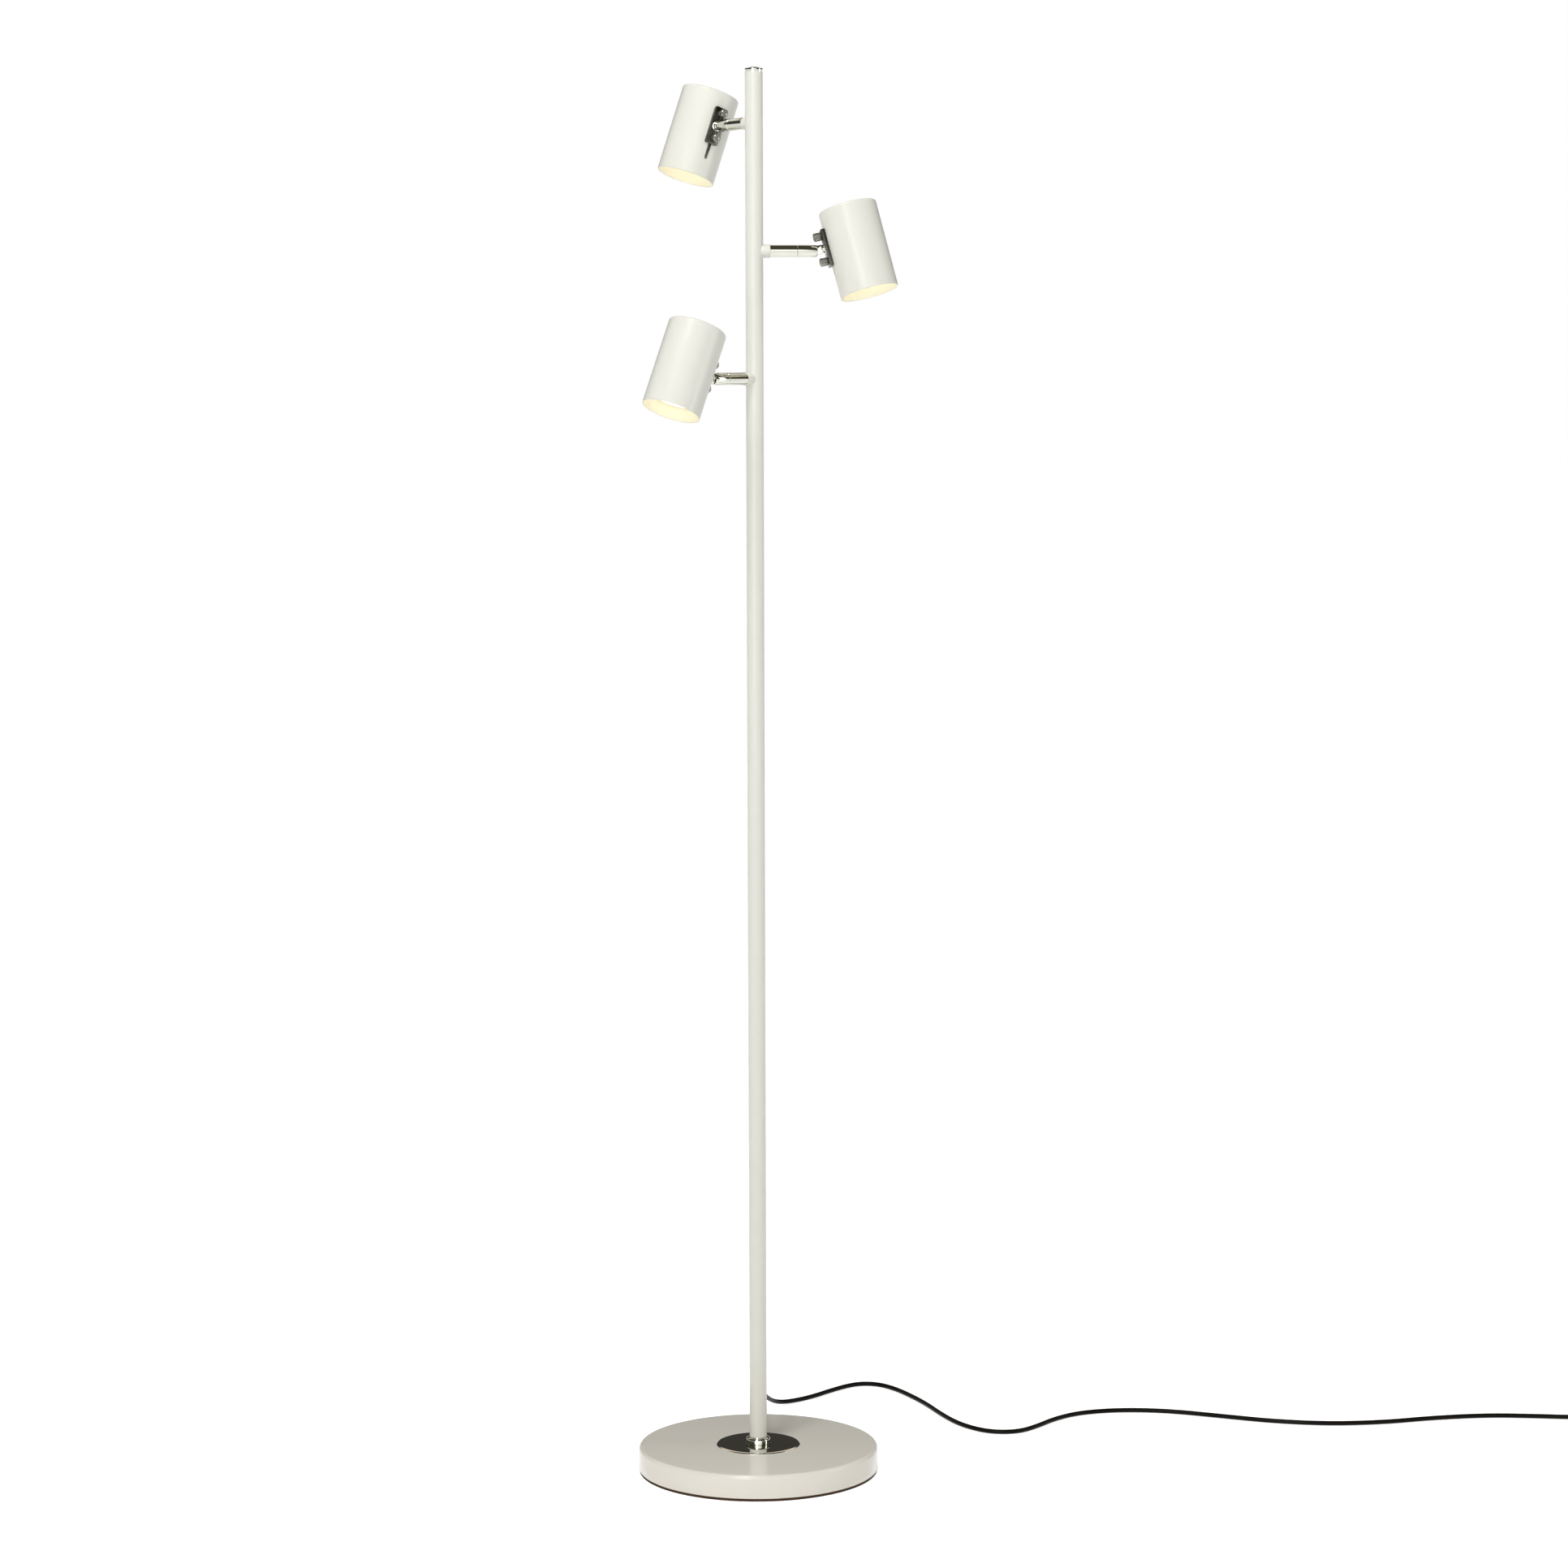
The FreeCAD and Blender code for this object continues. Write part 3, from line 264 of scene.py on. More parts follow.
def turned(name, outline, sides=96, bevel=0.0, segments=3):
    """A turned piece about Z. The outline lists (radius, height); it may start and end on the axis."""
    start_on_axis, end_on_axis = outline[0][0] == 0, outline[-1][0] == 0
    closed = not start_on_axis
    rings = outline[1:] if start_on_axis else list(outline)
    rings = rings[:-1] if end_on_axis else rings
    radius, height = rings[0]
    bpy.ops.mesh.primitive_circle_add(vertices=sides, radius=radius, location=(0, 0, height))
    piece = name_new(name)
    bpy.ops.object.transform_apply(location=True)
    mode("EDIT")
    bpy.ops.mesh.select_mode(type="EDGE")
    if start_on_axis:
        extrude_up(outline[0][1] - height)
        bpy.ops.mesh.merge(type="COLLAPSE")
        select_level(piece, radius, height)
    for next_radius, next_height in rings[1:] + ([rings[0]] if closed else []):
        extrude_up(next_height - height)
        scale = next_radius / radius
        bpy.ops.transform.resize(value=(scale, scale, 1), center_override=(0, 0, next_height))
        radius, height = next_radius, next_height
    if end_on_axis:
        extrude_up(outline[-1][1] - height)
        bpy.ops.mesh.merge(type="COLLAPSE")
    bpy.ops.mesh.select_all(action="SELECT")
    bpy.ops.mesh.remove_doubles(threshold=1e-6)
    bpy.ops.mesh.normals_make_consistent(inside=False)
    mode("OBJECT")
    return bevelled(piece, bevel, segments)


def select_level(piece, radius, height, nearness=1e-5):
    """In edit mode, select the ring of points at this radius and height alone."""
    bpy.ops.mesh.select_all(action="DESELECT")
    mode("OBJECT")
    for vertex in piece.data.vertices:
        at_radius = abs(vertex.co.xy.length - radius) < nearness
        vertex.select = at_radius and abs(vertex.co.z - height) < nearness
    mode("EDIT")
    bpy.ops.mesh.select_mode(type="VERT")


def quarter_round(middle_radius, middle_height, size, start, steps=8):
    """Outline points on a quarter circle, from the start angle in degrees, turning clockwise."""
    angles = [math.radians(start - 90 * k / steps) for k in range(steps + 1)]
    return [(middle_radius + size * math.cos(a), middle_height + size * math.sin(a)) for a in angles]


def carry(piece, matrix):
    """Put a piece where a frame says, and apply that place to its mesh."""
    piece.matrix_world = matrix
    pick(piece)
    bpy.ops.object.transform_apply(location=True, rotation=True, scale=True)
    return piece


def carried_copy(piece, name, matrix):
    pick(piece)
    bpy.ops.object.duplicate(linked=False)
    return carry(name_new(name), matrix)


def bored(piece, cutter):
    """Cut one piece with another, and throw the cutter away."""
    apply_modifier(piece, "BOOLEAN", operation="DIFFERENCE", solver="EXACT", object=cutter)
    bpy.data.objects.remove(cutter)
    return piece


def settle(piece, body, slot, *nodes):
    """Say what a piece rides on, what it is made of, and which CAD nodes it stands for.

    A piece that has no finish of its own yet is painted with the slot's.
    """
    if not any(piece.data.materials):
        paint(piece, slot)
    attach(piece, body)
    if nodes:
        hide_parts(*nodes)
    return piece


def rounded_block(name, low, high, corner, along="Z", segments=6):
    """A block whose four edges along one axis are rounded by the corner radius."""
    low, high = Vector(low), Vector(high)
    bpy.ops.mesh.primitive_cube_add(size=1, location=(low + high) / 2, scale=high - low)
    piece = name_new(name)
    bpy.ops.object.transform_apply(location=True, scale=True)
    index = "XYZ".index(along)
    mode("EDIT")
    bpy.ops.mesh.select_mode(type="EDGE")
    bpy.ops.mesh.select_all(action="DESELECT")
    mode("OBJECT")
    for edge in piece.data.edges:
        ends = [piece.data.vertices[v].co for v in edge.vertices]
        edge.select = abs((ends[1] - ends[0]).normalized()[index]) > 0.99
    mode("EDIT")
    bpy.ops.mesh.bevel(offset=corner, segments=segments, affect="EDGES")
    mode("OBJECT")
    return piece


# %% [markdown]
# ## Finishes
# Powder coat has a faint orange peel and drifts in tone, plated metal carries fine rubbing marks,
# and mouldings have a soft grain. One shader node group makes all of these from noise on Object
# coordinates. It puts out a colour, a roughness and a height, and each finish sets its numbers.

# %% Grain group


def set_inputs(node, values):
    for socket, value in values.items():
        node.inputs[socket].default_value = value


def build_grain_group():
    group = bpy.data.node_groups.new("surface_grain", "ShaderNodeTree")
    colours = ("Colour", "Second colour")
    for way, names in (("INPUT", (*colours, "Drift size", "Grain size", "Smoothest", "Roughest")),
                       ("OUTPUT", ("Colour", "Roughness", "Height"))):
        for name in names:
            kind = "NodeSocketColor" if name in colours else "NodeSocketFloat"
            group.interface.new_socket(name=name, in_out=way, socket_type=kind)
    nodes, links = group.nodes, group.links
    inside, outside = nodes.new("NodeGroupInput"), nodes.new("NodeGroupOutput")
    place = nodes.new("ShaderNodeTexCoord")
    drift, grain = nodes.new("ShaderNodeTexNoise"), nodes.new("ShaderNodeTexNoise")
    set_inputs(drift, {"Detail": 3})
    set_inputs(grain, {"Detail": 2})
    mix = nodes.new("ShaderNodeMix")
    mix.data_type = "RGBA"
    rough = nodes.new("ShaderNodeMapRange")
    rough.interpolation_type = "SMOOTHSTEP"
    set_inputs(rough, {"From Min": 0.1, "From Max": 0.9})
    for texture, size in ((drift, "Drift size"), (grain, "Grain size")):
        links.new(place.outputs["Object"], texture.inputs["Vector"])
        links.new(inside.outputs[size], texture.inputs["Scale"])
    links.new(drift.outputs["Fac"], mix.inputs["Factor"])
    links.new(inside.outputs["Colour"], mix.inputs[6])
    links.new(inside.outputs["Second colour"], mix.inputs[7])
    links.new(drift.outputs["Fac"], rough.inputs["Value"])
    links.new(inside.outputs["Smoothest"], rough.inputs["To Min"])
    links.new(inside.outputs["Roughest"], rough.inputs["To Max"])
    links.new(mix.outputs[2], outside.inputs["Colour"])
    links.new(rough.outputs["Result"], outside.inputs["Roughness"])
    links.new(grain.outputs["Fac"], outside.inputs["Height"])
    return group


SURFACE_GRAIN = build_grain_group()


def finish(name, colour, second, drift, grain, rough, bump, others=None):
    """A material with two near colours that drift into each other, and a fine grain."""
    material = bpy.data.materials.new(name)
    material.use_nodes = True
    nodes, links = material.node_tree.nodes, material.node_tree.links
    surface = nodes["Principled BSDF"]
    set_inputs(surface, others or {})
    group = nodes.new("ShaderNodeGroup")
    group.node_tree = SURFACE_GRAIN
    values = ((*colour, 1), (*second, 1), drift, grain, *rough)
    for socket, value in zip(group.inputs, values):
        socket.default_value = value
    relief = nodes.new("ShaderNodeBump")
    set_inputs(relief, {"Distance": bump, "Strength": 1.0})
    links.new(group.outputs["Colour"], surface.inputs["Base Color"])
    links.new(group.outputs["Roughness"], surface.inputs["Roughness"])
    links.new(group.outputs["Height"], relief.inputs["Height"])
    links.new(relief.outputs["Normal"], surface.inputs["Normal"])
    return material


# %% [markdown]
# ### Paint, plate and castings
# The lamp's white is a warm satin powder coat. Its gloss comes from the clear resin on top, which
# the shader's own specular does well at a roughness of 0.28 to 0.30. The renderer's denoiser takes
# a surface below 0.274 for a mirror, so no finish has a range that crosses that value: it would
# draw a faint line there. The plated parts are full metal with a grey tint and almost no
# roughness, so they show the studio around them; their olive tint is partly painted reflection of
# the olive studio. The base has a smoother and warmer coat: part of its warmth is painted warm
# light reflected onto its top.

# %% Finishes for the lamp
# name: colour, second colour, drift and grain per metre, roughness range, bump height, other sockets
METAL = {"Metallic": 1.0}
FINISH_TABLE = {
    "white_paint": ((0.82, 0.815, 0.742), (0.813, 0.808, 0.735), 14, 1400, (0.28, 0.30), 6e-6, {}),
    # The chrome's darker olive-grey tint is partly a painted reflection of the olive studio around it.
    "chrome": ((0.68, 0.68, 0.62), (0.60, 0.60, 0.54), 60, 2500, (0.05, 0.11), 8e-7, METAL),
    "mirror_chrome": ((0.84, 0.83, 0.80), (0.78, 0.77, 0.73), 30, 1500, (0.03, 0.06), 6e-7, METAL),
    "dark_chrome": ((0.12, 0.117, 0.10), (0.08, 0.078, 0.066), 90, 2500, (0.16, 0.26), 1e-6, METAL),
    "foot_rubber": ((0.085, 0.050, 0.028), (0.055, 0.034, 0.020), 70, 1200, (0.70, 0.85), 4e-5,
                    {"Specular IOR Level": 0.1}),
    "weight_iron": ((0.13, 0.125, 0.12), (0.09, 0.085, 0.08), 45, 700, (0.55, 0.75), 15e-5,
                    {"Metallic": 0.8}),
    "base_plate_steel": ((0.55, 0.56, 0.57), (0.46, 0.47, 0.49), 40, 1500, (0.28, 0.42), 4e-6, METAL),
    "fastener_steel": ((0.60, 0.60, 0.60), (0.50, 0.50, 0.51), 120, 2200, (0.28, 0.38), 4e-6, METAL),
    "brass": ((0.72, 0.52, 0.22), (0.62, 0.44, 0.18), 120, 2200, (0.20, 0.27), 3e-6, METAL),
    "holder_ceramic": ((0.82, 0.80, 0.74), (0.78, 0.76, 0.70), 60, 900, (0.18, 0.26), 1e-5, {}),
    "lead_sheath": ((0.72, 0.71, 0.68), (0.66, 0.65, 0.62), 90, 1800, (0.45, 0.60), 2e-5, {}),
    "block_plastic": ((0.70, 0.69, 0.66), (0.66, 0.65, 0.62), 60, 1500, (0.40, 0.50), 1e-5, {}),
    "cord_sheath": ((0.005, 0.004, 0.003), (0.008, 0.006, 0.004), 60, 1600, (0.30, 0.42), 2e-5,
                    {"Specular IOR Level": 0.08}),
    "black_plastic": ((0.018, 0.017, 0.016), (0.024, 0.022, 0.021), 80, 2400, (0.42, 0.55), 2e-5, {}),
    "button_plastic": ((0.014, 0.014, 0.013), (0.020, 0.019, 0.018), 90, 1800, (0.20, 0.27), 6e-6, {}),
    "pin_metal": ((0.66, 0.64, 0.59), (0.58, 0.56, 0.51), 150, 2200, (0.18, 0.27), 3e-6, METAL),
    "lamp_glass": ((0.85, 0.84, 0.80), (0.80, 0.79, 0.74), 60, 1200, (0.20, 0.27), 1e-5, {}),
}
FINISHES = {name: finish(name, *row) for name, row in FINISH_TABLE.items()}
# The base's own paint: smoother than the white paint, and warmer. Part of that warmth is painted warm light
# reflected onto the base top.
BASE_PAINT_AND_WARM_LIGHT = finish("base_paint_and_warm_light", (0.83, 0.795, 0.71), (0.82, 0.785, 0.70), 9, 1400, (0.17, 0.20), 4e-6)


def paint(piece, slot):
    piece.data.materials.clear()
    piece.data.materials.append(FINISHES[slot])
    return piece


for part in frame["record"]["subparts"]:
    paint(frame["nodes"][part["node"]], part["material_slot"])
paint(mains_cord, "cord_sheath")
print(len(FINISHES), "finishes on", len(frame["nodes"]), "CAD nodes")

# %% [markdown]
# ### The lit lamps
# Each shade glows a pale warm yellow inside. The face of the lamp is the only thing that gives
# light; the paint inside the shade then picks it up by itself.

# %% Glow
LAMP_GLOW = (1.0, 0.86, 0.50)
LAMP_STRENGTH = 1.5


def lamp_face_finish():
    material = finish("lamp_face", (0.9, 0.88, 0.8), (0.86, 0.84, 0.76), 60, 1200, (0.28, 0.36), 2e-5)
    surface = material.node_tree.nodes["Principled BSDF"]
    set_inputs(surface, {"Emission Color": (*LAMP_GLOW, 1), "Emission Strength": LAMP_STRENGTH})
    return material


LAMP_FACE = lamp_face_finish()

# %% [markdown]
# ## The base
# The base is a heavy disc under a drawn steel cover. The cover's top edge is rounded, so its
# outline turns a quarter circle there, outside and inside.

# %% Base cover
base_low, base_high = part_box("base_cover")
BASE_RADIUS = base_high.x
BASE_TOP = base_high.z
COVER_WALL = 0.0012
EDGE_ROUND = 0.004
LIP_HEIGHT = 0.0006
HOLE_RADIUS = 0.0053
edge_middle = (BASE_RADIUS - EDGE_ROUND, BASE_TOP - EDGE_ROUND)
outline = [(HOLE_RADIUS, BASE_TOP)] + quarter_round(*edge_middle, EDGE_ROUND, 90)
outline += [(BASE_RADIUS, base_low.z + LIP_HEIGHT), (BASE_RADIUS - CHAMFER, base_low.z)]
outline += [(BASE_RADIUS - COVER_WALL, base_low.z)]
outline += quarter_round(*edge_middle, EDGE_ROUND - COVER_WALL, 90)[::-1]
outline += [(HOLE_RADIUS, BASE_TOP - COVER_WALL)]
base_cover = turned("base_cover_shell", outline, sides=256)
base_cover.data.materials.append(BASE_PAINT_AND_WARM_LIGHT)
settle(base_cover, "stand", "white_paint", "base_cover")
print("base", round(2 * BASE_RADIUS, 3), "m across, top at", round(BASE_TOP, 4))

# %% [markdown]
# The lamp stands on a dark moulded ring. It shows as a thin brown line under the cover. A shallow
# groove runs round its foot, where such rings are ribbed to grip the floor.

# %% Foot ring
foot_low, foot_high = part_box("foot_ring")
FOOT_WIDTH = 0.008
GROOVE = 0.0008
foot_outer, foot_inner = foot_high.x, foot_high.x - FOOT_WIDTH
groove_middle = (foot_outer + foot_inner) / 2
outline = [
    (foot_inner, foot_high.z), (foot_outer, foot_high.z), (foot_outer, foot_low.z),
    (groove_middle + 2 * GROOVE, foot_low.z), (groove_middle + GROOVE, foot_low.z + GROOVE),
    (groove_middle - GROOVE, foot_low.z + GROOVE), (groove_middle - 2 * GROOVE, foot_low.z),
    (foot_inner, foot_low.z),
]
foot = turned("foot_ring_moulding", outline, sides=256, bevel=0.0003)
settle(foot, "stand", "foot_rubber", "foot_ring")

# %% [markdown]
# ## The disc and collar at the pole's foot
# A mirror-bright disc covers the hole in the cover, and a chrome collar holds the pole upright on
# it. The disc is nearly flat, with a fine rolled rim that catches a thin line of light. The collar
# has straight sides, a round shoulder and a small bead against the pole.

# %% Escutcheon disc
disc_low, disc_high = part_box("escutcheon")
DISC_RADIUS = disc_high.x
RIM_WIDTH = 0.0016
RIM_DROPS = ((2, 0), (1.2, 0.0001), (0.4, 0.0005))     # rim widths from the edge, and the drop there
RIM_EDGE = 0.0003
outline = [(HOLE_RADIUS, disc_high.z)]
outline += [(DISC_RADIUS - share * RIM_WIDTH, disc_high.z - drop) for share, drop in RIM_DROPS]
outline += [(DISC_RADIUS, disc_low.z + RIM_EDGE), (DISC_RADIUS, disc_low.z), (HOLE_RADIUS, disc_low.z)]
disc = turned("escutcheon_disc", outline, sides=192)
settle(disc, "stand", "mirror_chrome", "escutcheon")

# %% Collar
collar_low, collar_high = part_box("pole_collar")
pole_low, pole_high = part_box("pole_tube")
COLLAR_RADIUS = collar_high.x
POLE_RADIUS = pole_high.x
SHOULDER = 0.0027
BEAD = 0.0005
collar_bore = POLE_RADIUS + FIT
bead_radius = COLLAR_RADIUS - SHOULDER
outline = [(HOLE_RADIUS, collar_low.z), (COLLAR_RADIUS - BEAD, collar_low.z)]
outline += [(COLLAR_RADIUS, collar_low.z + BEAD)]
outline += quarter_round(bead_radius, collar_high.z - SHOULDER - BEAD, SHOULDER, 90)[::-1]
outline += [(bead_radius, collar_high.z - BEAD / 2), (bead_radius - BEAD / 2, collar_high.z)]
outline += [(collar_bore, collar_high.z), (collar_bore, pole_low.z), (HOLE_RADIUS, pole_low.z)]
settle(turned("collar_nut", outline, sides=128), "stand", "chrome", "pole_collar")

# %% [markdown]
# ## The pole and its cap
# The pole is one length of tube. Its foot end is turned in a little where it meets the collar. The
# cap is a turned plug: a bright rim as wide as the pole, a shallow groove, and a low dome.

# %% Pole
POLE_WALL = 0.0012
TURN_IN = 0.0004
outline = [
    (POLE_RADIUS - POLE_WALL, pole_low.z), (POLE_RADIUS - TURN_IN, pole_low.z),
    (POLE_RADIUS, pole_low.z + 2 * TURN_IN), (POLE_RADIUS, pole_high.z - TURN_IN / 2),
    (POLE_RADIUS - TURN_IN / 2, pole_high.z), (POLE_RADIUS - POLE_WALL, pole_high.z),
]
settle(turned("pole", outline, sides=128), "stand", "white_paint", "pole_tube")
print("pole", round(2 * POLE_RADIUS, 4), "by", round(pole_high.z - pole_low.z, 4), "m")

# %% Top cap
cap_low, cap_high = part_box("top_cap")
CAP_GROOVE = 0.0006
DOME_RADIUS = 0.0065
DOME_HEIGHT = 0.0015
DOME_SUNK = 0.0004
DOME_STEPS = 8
rim_top = cap_high.z - DOME_HEIGHT
outline = [
    (0, cap_low.z), (POLE_RADIUS - POLE_WALL, cap_low.z), (POLE_RADIUS - POLE_WALL, pole_high.z),
    (POLE_RADIUS - CHAMFER, pole_high.z), (POLE_RADIUS - CHAMFER, pole_high.z + CAP_GROOVE / 2),
    (POLE_RADIUS, pole_high.z + CAP_GROOVE),
]
outline += quarter_round(POLE_RADIUS - CAP_GROOVE, rim_top - CAP_GROOVE, CAP_GROOVE, 90, steps=4)[::-1]
outline += [(DOME_RADIUS + CAP_GROOVE, rim_top), (DOME_RADIUS + CHAMFER, rim_top - CAP_GROOVE)]
for k in range(DOME_STEPS):
    slope = math.radians(90 * k / DOME_STEPS)
    outline += [(DOME_RADIUS * math.cos(slope),
                 rim_top - DOME_SUNK + (DOME_HEIGHT + DOME_SUNK) * math.sin(slope))]
outline += [(0, cap_high.z)]
settle(turned("top_cap_dome", outline), "stand", "chrome", "top_cap")

# %% [markdown]
# ## Frames for the arms and heads
# Each arm and head is modelled once about the origin and then carried to its place three times.
# The places come from the joints: the swivel's axis runs out along the arm, the tilt's axis lies
# across its end, and the slide's axis runs up along the shade. For an arm, local Z is out along
# it. For a head, local X is out, Y is across, and Z is up along the shade.

# %% Arm and head frames
arm_fixed, arm_turned, head_places = {}, {}, {}
for number in ARMS:
    out = Vector(joints[f"arm_swivel_{number}"]["axis"])
    start = Vector(joints[f"arm_swivel_{number}"]["pos_m"])
    across = Vector(joints[f"head_tilt_{number}"]["axis"])
    pivot = Vector(joints[f"head_tilt_{number}"]["pos_m"])
    up = Vector(joints[f"shade_slide_{number}"]["axis"])
    level = Vector((0, 0, 1)).cross(out)
    arm_fixed[number] = frame_at(start, out.cross(level), -level, out)
    arm_turned[number] = frame_at(start, out.cross(across), -across, out)
    head_places[number] = frame_at(pivot, across.cross(up), across, up)
PIVOT_REACH = (pivot - start).length
print("pivots stand", round(PIVOT_REACH, 4), "m from the pole's axis")

# %% [markdown]
# ## The arms
# An arm has a white boss that is shaped to the pole, a chrome tube fixed in it, and a second
# chrome tube that turns on the first. The boss is cut with the pole's own cylinder, so that it
# wraps the pole and leaves no gap. The turning tube is forked for the head's tongue.

# %% Arm sizes
BOSS_RADIUS = 0.00675
BOSS_END = 0.0157
ARM_RADIUS = 0.00625
INNER_END = 0.0436
SWIVEL_GAP = 0.0003
OUTER_END = 0.0643
ARM_BORE = 0.0028
TONGUE_WIDTH = 0.005
TONGUE_HEIGHT = 0.0086
SLOT_PLAY = 0.0001
PIN_RADIUS = 0.0015
PIN_HALF = 0.0057
SPIGOT_RADIUS = 0.0045
SPIGOT_LENGTH = 0.002
SWIVEL_RADIUS = 0.00422
FORK_BORE = 0.00425
FORK_ROUND = 0.0012


def model_boss():
    bore = SPIGOT_RADIUS + FIT
    boss = turned("arm_boss", [
        (bore, 0), (BOSS_RADIUS, 0), (BOSS_RADIUS, BOSS_END), (bore, BOSS_END)], sides=64)
    bpy.ops.mesh.primitive_cylinder_add(vertices=128, radius=POLE_RADIUS - FIT, depth=0.04,
                                        rotation=(0, math.pi / 2, 0))
    bored(boss, name_new("boss_cutter"))
    return bevelled(boss, 0.0005, segments=3, corner=50)


def model_inner_tube():
    return turned("arm_inner_tube", [
        (ARM_BORE, BOSS_END - SPIGOT_LENGTH), (SPIGOT_RADIUS, BOSS_END - SPIGOT_LENGTH),
        (SPIGOT_RADIUS, BOSS_END), (ARM_RADIUS - CHAMFER, BOSS_END), (ARM_RADIUS, BOSS_END + CHAMFER),
        (ARM_RADIUS, INNER_END - CHAMFER), (ARM_RADIUS - CHAMFER, INNER_END),
        (SWIVEL_RADIUS, INNER_END), (SWIVEL_RADIUS, INNER_END - 2 * SPIGOT_LENGTH),
        (ARM_BORE, INNER_END - 2 * SPIGOT_LENGTH)], sides=64)


def model_fork():
    start = INNER_END + SWIVEL_GAP
    relief_radius, relief_start, relief_end = 0.0052, OUTER_END - 0.0145, OUTER_END - 0.012
    fork = turned("arm_fork_tube", [
        (FORK_BORE, start), (ARM_RADIUS - CHAMFER, start), (ARM_RADIUS, start + CHAMFER),
        (ARM_RADIUS, OUTER_END - FORK_ROUND), (ARM_RADIUS - 0.00035, OUTER_END - 0.00035),
        (ARM_RADIUS - FORK_ROUND, OUTER_END), (ARM_BORE, OUTER_END), (ARM_BORE, relief_end),
        (relief_radius, relief_end - CHAMFER), (relief_radius, relief_start + CHAMFER / 2),
        (FORK_BORE, relief_start)], sides=64)
    slot_start = PIVOT_REACH - TONGUE_HEIGHT / 2 - 0.0004
    half = TONGUE_WIDTH / 2 + SLOT_PLAY
    past_tube = (0.01, half, 0.08)
    slot = rounded_block("fork_cutter", (-past_tube[0], -half, slot_start), past_tube, 0.0006, along="X")
    bored(fork, slot)
    return bevelled(fork, CHAMFER, segments=2, corner=50)


# %% [markdown]
# The tilt pin is pressed through the fork. Both its ends have a small chamfer and a punch mark.

# %% Tilt pin
PUNCH_RADIUS = 0.0006
PUNCH_DEPTH = 0.0003


def model_tilt_pin():
    end = [(PIN_RADIUS, PIN_HALF - CHAMFER), (PIN_RADIUS - CHAMFER, PIN_HALF),
           (PUNCH_RADIUS, PIN_HALF), (0, PIN_HALF - PUNCH_DEPTH)]
    pin = turned("tilt_pin", [(radius, -height) for radius, height in end[::-1]] + end, sides=32)
    return carry(pin, Matrix.Translation((0, 0, PIVOT_REACH)) @ Matrix.Rotation(math.radians(90), 4, "X"))


arm_models = (
    (model_boss(), "arm_boss", "stand", "white_paint", arm_fixed),
    (model_inner_tube(), "arm_inner", "stand", "chrome", arm_fixed),
    (model_fork(), "arm_outer", "arm_end", "chrome", arm_turned),
    (model_tilt_pin(), "tilt_pin", "arm_end", "fastener_steel", arm_turned),
)


def place_copies(models):
    """Copy each model to all three places, and remove the model."""
    for model, node, body, slot, places in models:
        for number in ARMS:
            piece = carried_copy(model, f"{model.name}_{number}", places[number])
            riding = body if body == "stand" else f"{body}_{number}"
            settle(piece, riding, slot, f"{node}_{number}")
        bpy.data.objects.remove(model)


place_copies(arm_models)
print("arms placed")

# %% [markdown]
# ## The heads
# The bracket is one piece: a tongue with a round end that fills the fork's slot, a round neck, and
# a plate whose back is hollowed with the shade's own cylinder. The plate is darker than the rest.

# %% Head sizes
SHADE_RADIUS = 0.030
SHADE_WALL = 0.001
SHADE_LENGTH = 0.091
PIVOT_BELOW_TOP = 0.0365
PLATE_OFFSET = 0.0115
PLATE_THICKNESS = 0.003
PLATE_WIDTH = 0.014
PLATE_LENGTH = 0.039
SEAT_GAP = 0.00015
SHADE_AXIS = PLATE_OFFSET + PLATE_THICKNESS + SEAT_GAP + SHADE_RADIUS
SCREW_SPREAD = 0.0132
NECK_RADIUS = 0.0045
NECK_START = 0.0076
NECK_ROUND = 0.0006
NECK_FLARE = 0.0008
SUNK_IN_PLATE = 0.001


UPRIGHT_TO_OUTWARD = Matrix.Rotation(math.radians(90), 4, "Y")


def merged(piece, *others):
    for other in others:
        apply_modifier(piece, "BOOLEAN", operation="UNION", solver="EXACT", object=other)
        bpy.data.objects.remove(other)
    return piece


def upright_cylinder(name, radius, low, high, middle=(0, 0), sides=192):
    bpy.ops.mesh.primitive_cylinder_add(vertices=sides, radius=radius, depth=high - low,
                                        location=(*middle, (low + high) / 2))
    return name_new(name)


def model_bracket():
    half_width, half_length = PLATE_WIDTH / 2, PLATE_LENGTH / 2
    plate = rounded_block("head_bracket_plate", (PLATE_OFFSET, -half_width, -half_length),
                          (PLATE_OFFSET + 2 * PLATE_THICKNESS, half_width, half_length), 0.0015, along="X")
    seat = upright_cylinder("seat_cutter", SHADE_RADIUS + SEAT_GAP, -0.05, 0.05, (SHADE_AXIS, 0))
    bored(plate, seat)
    half, half_height, sunk = TONGUE_WIDTH / 2, TONGUE_HEIGHT / 2, PLATE_OFFSET + SUNK_IN_PLATE
    tongue = rounded_block("tongue", (-half_height, -half, -half_height), (sunk, half, half_height),
                           0.0042, along="Y", segments=10)
    flare = NECK_RADIUS + NECK_FLARE
    neck = turned("neck", [
        (0, NECK_START), (NECK_RADIUS - NECK_ROUND, NECK_START), (NECK_RADIUS, NECK_START + NECK_ROUND),
        (NECK_RADIUS, PLATE_OFFSET - NECK_FLARE), (flare, PLATE_OFFSET), (flare, sunk), (0, sunk)], sides=64)
    merged(plate, tongue, carry(neck, UPRIGHT_TO_OUTWARD))
    bevelled(plate, 0.00025, segments=2, corner=45)
    plated_end = PLATE_OFFSET - 0.0003
    for slot in ("dark_chrome", "chrome"):
        plate.data.materials.append(FINISHES[slot])
    for polygon in plate.data.polygons:
        polygon.material_index = int(polygon.center.x < plated_end)
    return plate


# %% [markdown]
# ### Thumb screws
# Two thumb screws clamp the shade's slot. Their heads are knurled for the fingers: the columns of
# points are drawn in by a wave, four columns to a ridge, and both rims are chamfered.

